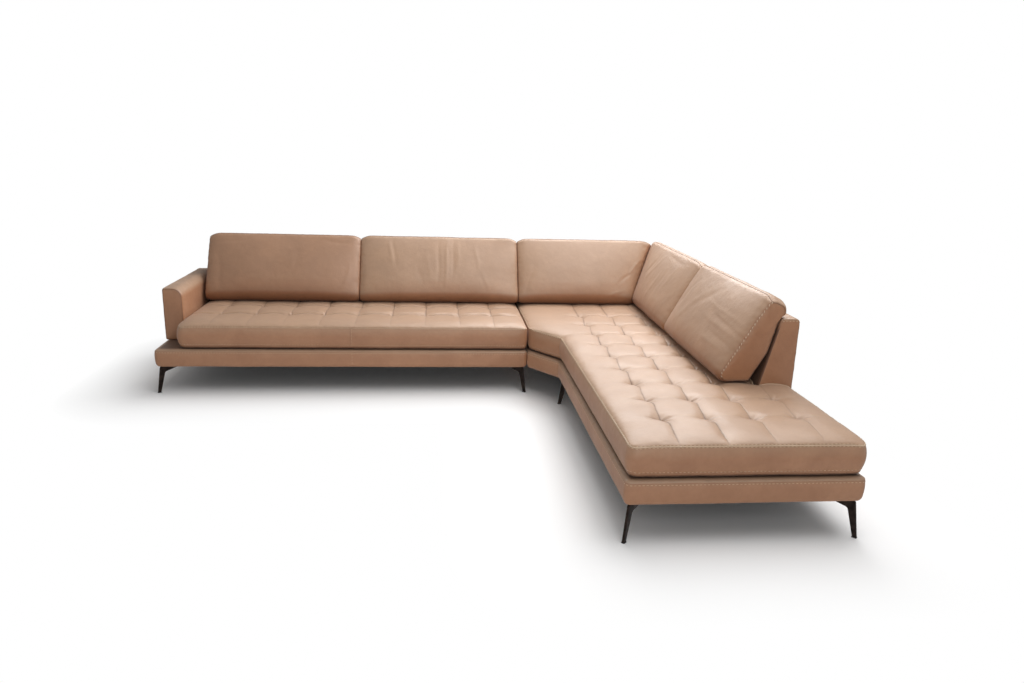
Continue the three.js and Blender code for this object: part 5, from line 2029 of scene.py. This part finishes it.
@dataclass
class Arm:
    """The slim arm: a boxed panel with a large round on its inner top edge and a sewn-in front."""

    name: str = "arm"
    node: str = "arm_cover"
    outer_radius: float = 0.016
    inner_radius: float = 0.056
    seed: int = 61

    def outline(self) -> RoundedOutline:
        """Returns the cross-section, across the sofa."""
        corners = [
            Corner(ARM_LOW.x, ARM_LOW.z, 0.012),
            Corner(ARM_HIGH.x, ARM_LOW.z, 0.012),
            Corner(ARM_HIGH.x, ARM_HIGH.z, self.inner_radius),
            Corner(ARM_LOW.x, ARM_HIGH.z, self.outer_radius),
        ]
        return RoundedOutline(corners, spacing=0.010, arc_steps=10)

    def loft(self) -> Loft:
        """Returns the arm's surface rule, which runs from front to back."""
        return Loft(
            self.outline(),
            level(ARM_LOW.y),
            level(ARM_HIGH.y),
            place=lambda along, x, z: np.stack(np.broadcast_arrays(x, along, z), axis=-1),
            length=ARM_HIGH.y - ARM_LOW.y,
            puffs=(0.004, 0.001),
            end_draw=0.006,
            end_run=0.014,
        )

    def build(self) -> bpy.types.Object:
        """Makes the arm.

        Returns:
            The arm.
        """
        relief = Relief(self.seed, broad=0.0016, pucker=0.0008)
        piece = self.loft().skin().build(self.name, LEATHER, relief)
        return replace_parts(piece, self.node)

    def trim(self, piece: bpy.types.Object, piping: Piping, thread: Stitching) -> None:
        """Lays a thin welt round the front and a row of stitches inside it.

        Args:
            piece: the arm.
            piping: where the welt goes.
            thread: where the stitches go.
        """
        surface = Surface(piece)
        rim = self.loft().rim(End.START)
        up = rim[:, 2] > ARM_LOW.z + 0.01
        first = int(np.argmax(up & ~np.roll(up, 1)))
        open_rim = np.roll(rim, -first, axis=0)[: int(up.sum())]
        piping.run(surface, open_rim)
        inner = self.loft().rim(End.FINISH, onto_end=0.006)
        thread.row(surface, inner[inner[:, 2] > ARM_LOW.z + 0.015])


# Legs and hidden pieces


@dataclass
class Ironwork:
    """The blade legs, as merged copies with eased edges."""

    edge: float = 0.0011

    def leg(self, node: str) -> bpy.types.Object:
        """A leg that stands for its CAD node.

        Args:
            node: the leg's node.

        Returns:
            The leg.
        """
        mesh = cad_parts[node].data.copy()
        mesh.name = node + "_blade"
        rework(mesh, self._merge)
        mesh.materials.clear()
        mesh.shade_smooth()
        piece = placed(mesh, node + "_blade", BRONZE)
        bevel = piece.modifiers.new("eased_edges", "BEVEL")
        bevel.width = self.edge
        bevel.segments = 3
        bevel.limit_method = "ANGLE"
        bevel.angle_limit = math.radians(30)
        bevel.harden_normals = True
        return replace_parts(piece, node)

    def _merge(self, solid: bmesh.types.BMesh) -> None:
        """Joins a leg's loose triangles into its flat faces."""
        bmesh.ops.remove_doubles(solid, verts=solid.verts, dist=WELD)
        bmesh.ops.dissolve_limit(
            solid, angle_limit=math.radians(1), verts=solid.verts, edges=solid.edges
        )


def dress_node(name: str, finish: Finish) -> None:
    """Gives a CAD node that stays its finish.

    Args:
        name: the node.
        finish: what it is made of.
    """
    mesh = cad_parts[name].data
    mesh.materials.clear()
    mesh.materials.append(finish.material())


HIDDEN_FINISHES = (
    ("_bolt", STEEL),
    ("_glide", PLASTIC),
    ("joining_plate", STEEL),
    ("_webbing", WEBBING),
    ("_foam", FOAM),
    ("dust_cover", LINING),
    ("_board", TIMBER),
    ("timber_frame", TIMBER),
)


# Studio


@dataclass
class Studio:
    """A white floor that keeps the sofa's shadow, a soft sky and five soft lamps."""

    floor_half: float = 30.0
    fade_run: float = 0.55
    sky: float = 0.294
    aim: tuple[float, float, float] = (0.1, 0.2, 0.3)
    lamp_size: float = 2.6
    lamps: dict[str, tuple[tuple[float, float, float], float]] = field(
        default_factory=lambda: {
            "right_overhead": ((2.2, 0.6, 3.6), 60.0),
            "corner_overhead": ((0.5, 1.8, 3.4), 37.0),
            "front_overhead": ((1.3, -1.5, 3.6), 51.0),
            "front_softbox": ((0.0, -4.5, 1.6), 22.0),
            "back_softbox": ((1.6, 2.6, 2.8), 88.0),
        }
    )

    def world(self) -> None:
        """The sky: white to the camera, and softer as a light."""
        world = bpy.context.scene.world = bpy.data.worlds.new("studio_sky")
        graph = Graph(world)
        skies = (graph.node("Background", Color=WHITE, Strength=power) for power in (self.sky, 1.0))
        shown = graph.split(graph.seen(), *(sky.outputs[0] for sky in skies))
        graph.feed(graph.node("OutputWorld").inputs[0], shown)

    def floor(self) -> None:
        """A flat square, diffuse under the sofa and turning plain white with the distance from it."""
        coat = Coat("studio_floor")
        coat.dress(Base_Color=(0.97, 0.97, 0.97, 1), Roughness=0.9, Specular_IOR_Level=0.0)
        gaps = []
        for low, high in ((WING_LOW, WING_HIGH), (CHAISE_LOW, CHAISE_HIGH)):
            middle, half = (low + high) / 2, (high - low) / 2
            away = coat.vector("ABSOLUTE", coat.vector("SUBTRACT", coat.place, (middle.x, middle.y, 0)))
            beyond = coat.vector("SUBTRACT", away, (half.x, half.y, 0))
            gaps.append(coat.vector("LENGTH", coat.vector("MAXIMUM", beyond, (0, 0, 0))))
        far = coat.spread(coat.number("MINIMUM", *gaps), 0.0, self.fade_run, 0.0, 1.0)
        light = coat.node("Emission", Color=WHITE, Strength=1.0).outputs[0]
        seen = coat.number("MULTIPLY", far, coat.seen())
        coat.feed(coat.output.inputs[0], coat.split(seen, coat.shader.outputs[0], light))
        mesh = bpy.data.meshes.new("studio_floor")
        signs = ((-1, -1), (1, -1), (1, 1), (-1, 1))
        corners = [(x * self.floor_half, y * self.floor_half, 0) for x, y in signs]
        mesh.from_pydata(corners, [], [(0, 1, 2, 3)])
        mesh.materials.append(coat.material)
        floor = stood("studio_floor", mesh)
        floor.visible_glossy = False

    def lamp(self, name: str, place: tuple[float, float, float], power: float) -> None:
        """A square soft lamp that points at the sofa.

        Args:
            name: the lamp's name.
            place: where it hangs.
            power: its power in watts.
        """
        data = bpy.data.lights.new(name, "AREA")
        data.size = self.lamp_size
        data.energy = power
        lamp = stood(name, data)
        lamp.location = place
        lamp.rotation_mode = "QUATERNION"
        lamp.rotation_quaternion = (Vector(self.aim) - Vector(place)).to_track_quat("-Z", "Y")

    def build(self) -> None:
        """Builds the floor, the sky and the lamps."""
        self.world()
        self.floor()
        for name, (place, power) in self.lamps.items():
            self.lamp(name, place, power)


@dataclass
class Viewpoint:
    """The photograph's camera: a pinhole with its place, turn and focal length."""

    place: tuple[float, float, float] = (-0.049819, -4.098269, 1.539655)
    focal_pixels: float = 762.989
    frame_width: int = 1024
    sensor: float = 36.0
    pitch: float = 14.77
    yaw: float = 6.155
    roll: float = 1.876

    def build(self) -> None:
        """Makes the camera from its three axes."""
        pitch, yaw, roll = (math.radians(angle) for angle in (self.pitch, self.yaw, self.roll))
        ahead = Vector(
            (math.sin(yaw) * math.cos(pitch), math.cos(yaw) * math.cos(pitch), -math.sin(pitch))
        )
        level_axis = Vector((math.cos(yaw), -math.sin(yaw), 0))
        above = level_axis.cross(ahead)
        right = level_axis * math.cos(roll) + above * math.sin(roll)
        up = above * math.cos(roll) - level_axis * math.sin(roll)
        data = bpy.data.cameras.new("viewpoint")
        data.sensor_width = self.sensor
        data.lens = self.focal_pixels * self.sensor / self.frame_width
        data.clip_end = 200
        camera = bpy.context.scene.camera = stood("viewpoint", data)
        turn = Matrix((right, up, -ahead)).transposed().to_4x4()
        camera.matrix_world = Matrix.Translation(Vector(self.place)) @ turn


# The sofa


@dataclass
class Sofa:
    """All the pieces, in the order in which they are made."""

    platform_radius: float = 0.026
    outer_cushion: float = 1.014
    arm_side_gap: float = 0.020
    side_gap: float = 0.002
    side_split: float = 0.185
    foot_drift: float = 0.034
    valley_share: float = 0.72
    thread_radius: float = 0.0011

    def platforms(self) -> None:
        """Makes and sews both platforms."""
        wing_end, chaise_start = SEAM_X - MODULE_GAP / 2, SEAM_X + MODULE_GAP / 2
        cut = CHAMFER_DEPTH * MODULE_GAP / 2 / (INNER_X - SEAM_X)
        left, right = WING_LOW.x, CHAISE_HIGH.x
        plans = {
            "wing_platform": [(left, FRONT_Y), (wing_end, FRONT_Y), (wing_end, BACK_Y), (left, BACK_Y)],
            "chaise_platform": [
                (chaise_start, FRONT_Y - cut),
                (INNER_X, CHAMFER_Y),
                (INNER_X, CHAISE_LOW.y),
                (right, CHAISE_LOW.y),
                (right, BACK_Y),
                (chaise_start, BACK_Y),
            ],
        }
        for (name, plan), seed, seams in zip(plans.items(), (11, 13), ((PANEL_SEAM_X,), ())):
            corners = [Corner(x, y, self.platform_radius) for x, y in plan]
            platform = Platform(name, name + "_wrap", corners, seed, seams)
            thread = Stitching(name + "_stitches", radius=self.thread_radius)
            platform.sew(platform.build(), thread)
            thread.build()

    def seats(self) -> None:
        """Makes and sews both seat cushions."""
        for seat in (WingSeat(), ChaiseSeat()):
            cushion = seat.cushion()
            piece = cushion.build()
            thread = Stitching(cushion.name + "_top_stitches", radius=seat.thread_radius)
            low = Stitching(cushion.name + "_low_stitches", radius=self.thread_radius)
            # The seat welts carry no painted shade; their pale leather is a painted highlight.
            welt = Piping(cushion.name + "_welt", radius=seat.welt_radius, dark=0.0)
            cushion.sew(piece, thread, low, welt)
            thread.build()
            low.build()
            welt.build(HIGHLIGHT_WELT)

    def backs(self) -> None:
        """Makes the three back panels and the arm."""
        mitre = SEATED_GAP / 2
        start = ARM_HIGH.x + SEATED_GAP - SEAM_X
        outer = CHAISE_HIGH.x - SEAM_X
        reach = FRONT_Y - SIDE_BACK_LOW.y
        panels = [
            BackPanel(
                "wing_back", "wing_back_cover", WING_ROW,
                level(start), level(-MODULE_GAP / 2), -start, 51,
            ),
            BackPanel(
                "corner_back", "corner_back_cover", WING_ROW,
                level(MODULE_GAP / 2), lambda y, z: outer - (MODULE_DEPTH - y) - mitre, outer, 53,
            ),
            BackPanel(
                "side_back", "side_back_cover", SIDE_ROW,
                lambda y, z: CHAISE_WIDTH - MODULE_DEPTH - y + mitre, level(reach),
                MODULE_DEPTH + reach, 57, (0.001, 0.004), (End.FINISH,),
            ),
        ]
        thread = Stitching("back_stitches")
        for panel in panels:
            panel.sew(panel.build(), thread)
        arm = Arm()
        piping = Piping("arm_piping", radius=0.0019)
        arm.trim(arm.build(), piping, thread)
        piping.build(LEATHER)
        thread.build()

    def cushions(self) -> None:
        """Makes the five loose back cushions and their trim."""
        half = self.side_gap / 2
        start = ARM_HIGH.x + self.arm_side_gap - SEAM_X
        split = start + self.outer_cushion
        seat_depth = MODULE_DEPTH - PANEL_FOOT - WING_WEDGE - CUSHION_FOOT
        offset = INNER_X - SEAM_X
        valley = offset + seat_depth + self.foot_drift
        reach = FRONT_Y - SIDE_BACK_LOW.y

        def corner_finish(y: Array, z: Array) -> Array:
            """Returns the corner cushion's finish: the valley that it shares with the side row."""
            return valley + (y - seat_depth) * self.valley_share - half

        def side_start(y: Array, z: Array) -> Array:
            """Returns the first side cushion's start: the valley, or the corner panel if nearer."""
            shared = seat_depth + (offset + y - valley) / self.valley_share - half
            return -np.minimum(shared, WING_ROW.panel_inner(z) - SEATED_GAP)

        side = {"wedge_gap": SIDE_WEDGE, "open_ends": (End.FINISH,)}
        cushions = [
            BackCushion(
                "outer_cushion", "back_cushion_outer", WING_ROW, level(start), level(split - half),
                # The outer cushion takes the darker copy of the leather, as painted shade.
                self.outer_cushion, 71, (0.003, 0.0005), lit_leather=SHADED_LEATHER,
            ),
            BackCushion(
                "inner_cushion", "back_cushion_inner", WING_ROW, level(split + half), level(-half),
                -split, 73,
            ),
            BackCushion(
                "corner_cushion", "back_cushion_corner", WING_ROW, level(half), corner_finish, 0.95, 75
            ),
            BackCushion(
                "side_inner_cushion", "back_cushion_side_inner", SIDE_ROW,
                side_start, level(self.side_split - half), 0.92, 77,
                foot_drift=lambda share: self.foot_drift * (1 - share / 2), **side,
            ),
            BackCushion(
                "side_outer_cushion", "back_cushion_side_outer", SIDE_ROW,
                level(self.side_split + half), level(reach), reach - self.side_split, 79, (0.0005, 0.007),
                foot_drift=lambda share: self.foot_drift * (1 - share) / 2, **side,
            ),
        ]
        piping = Piping("cushion_piping", radius=0.0022)
        whip = Stitching("cushion_whip_stitches", 0.018, 0.0145, 0.00145, 0.55, PALE_THREAD)
        for cushion in cushions:
            cushion.trim(cushion.build(), piping, whip)
        piping.build(LEATHER)
        whip.build()

    def rest(self) -> None:
        """Makes the legs and dresses the nodes that stay."""
        iron = Ironwork()
        for name in sorted(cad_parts):
            if "_leg_" in name and not name.endswith(("_glide", "_bolt")):
                iron.leg(name)
                continue
            for mark, finish in HIDDEN_FINISHES:
                if mark in name:
                    dress_node(name, finish)
                    break


def main() -> None:
    """Builds the camera, the sofa and the studio, and sets the view transform."""
    logging.basicConfig(level=logging.INFO, format="%(name)s: %(message)s")
    Viewpoint().build()
    sofa = Sofa()
    sofa.platforms()
    sofa.seats()
    sofa.backs()
    sofa.cushions()
    sofa.rest()
    Studio().build()
    bpy.context.scene.view_settings.view_transform = "Standard"


if __name__ == "__main__":
    main()
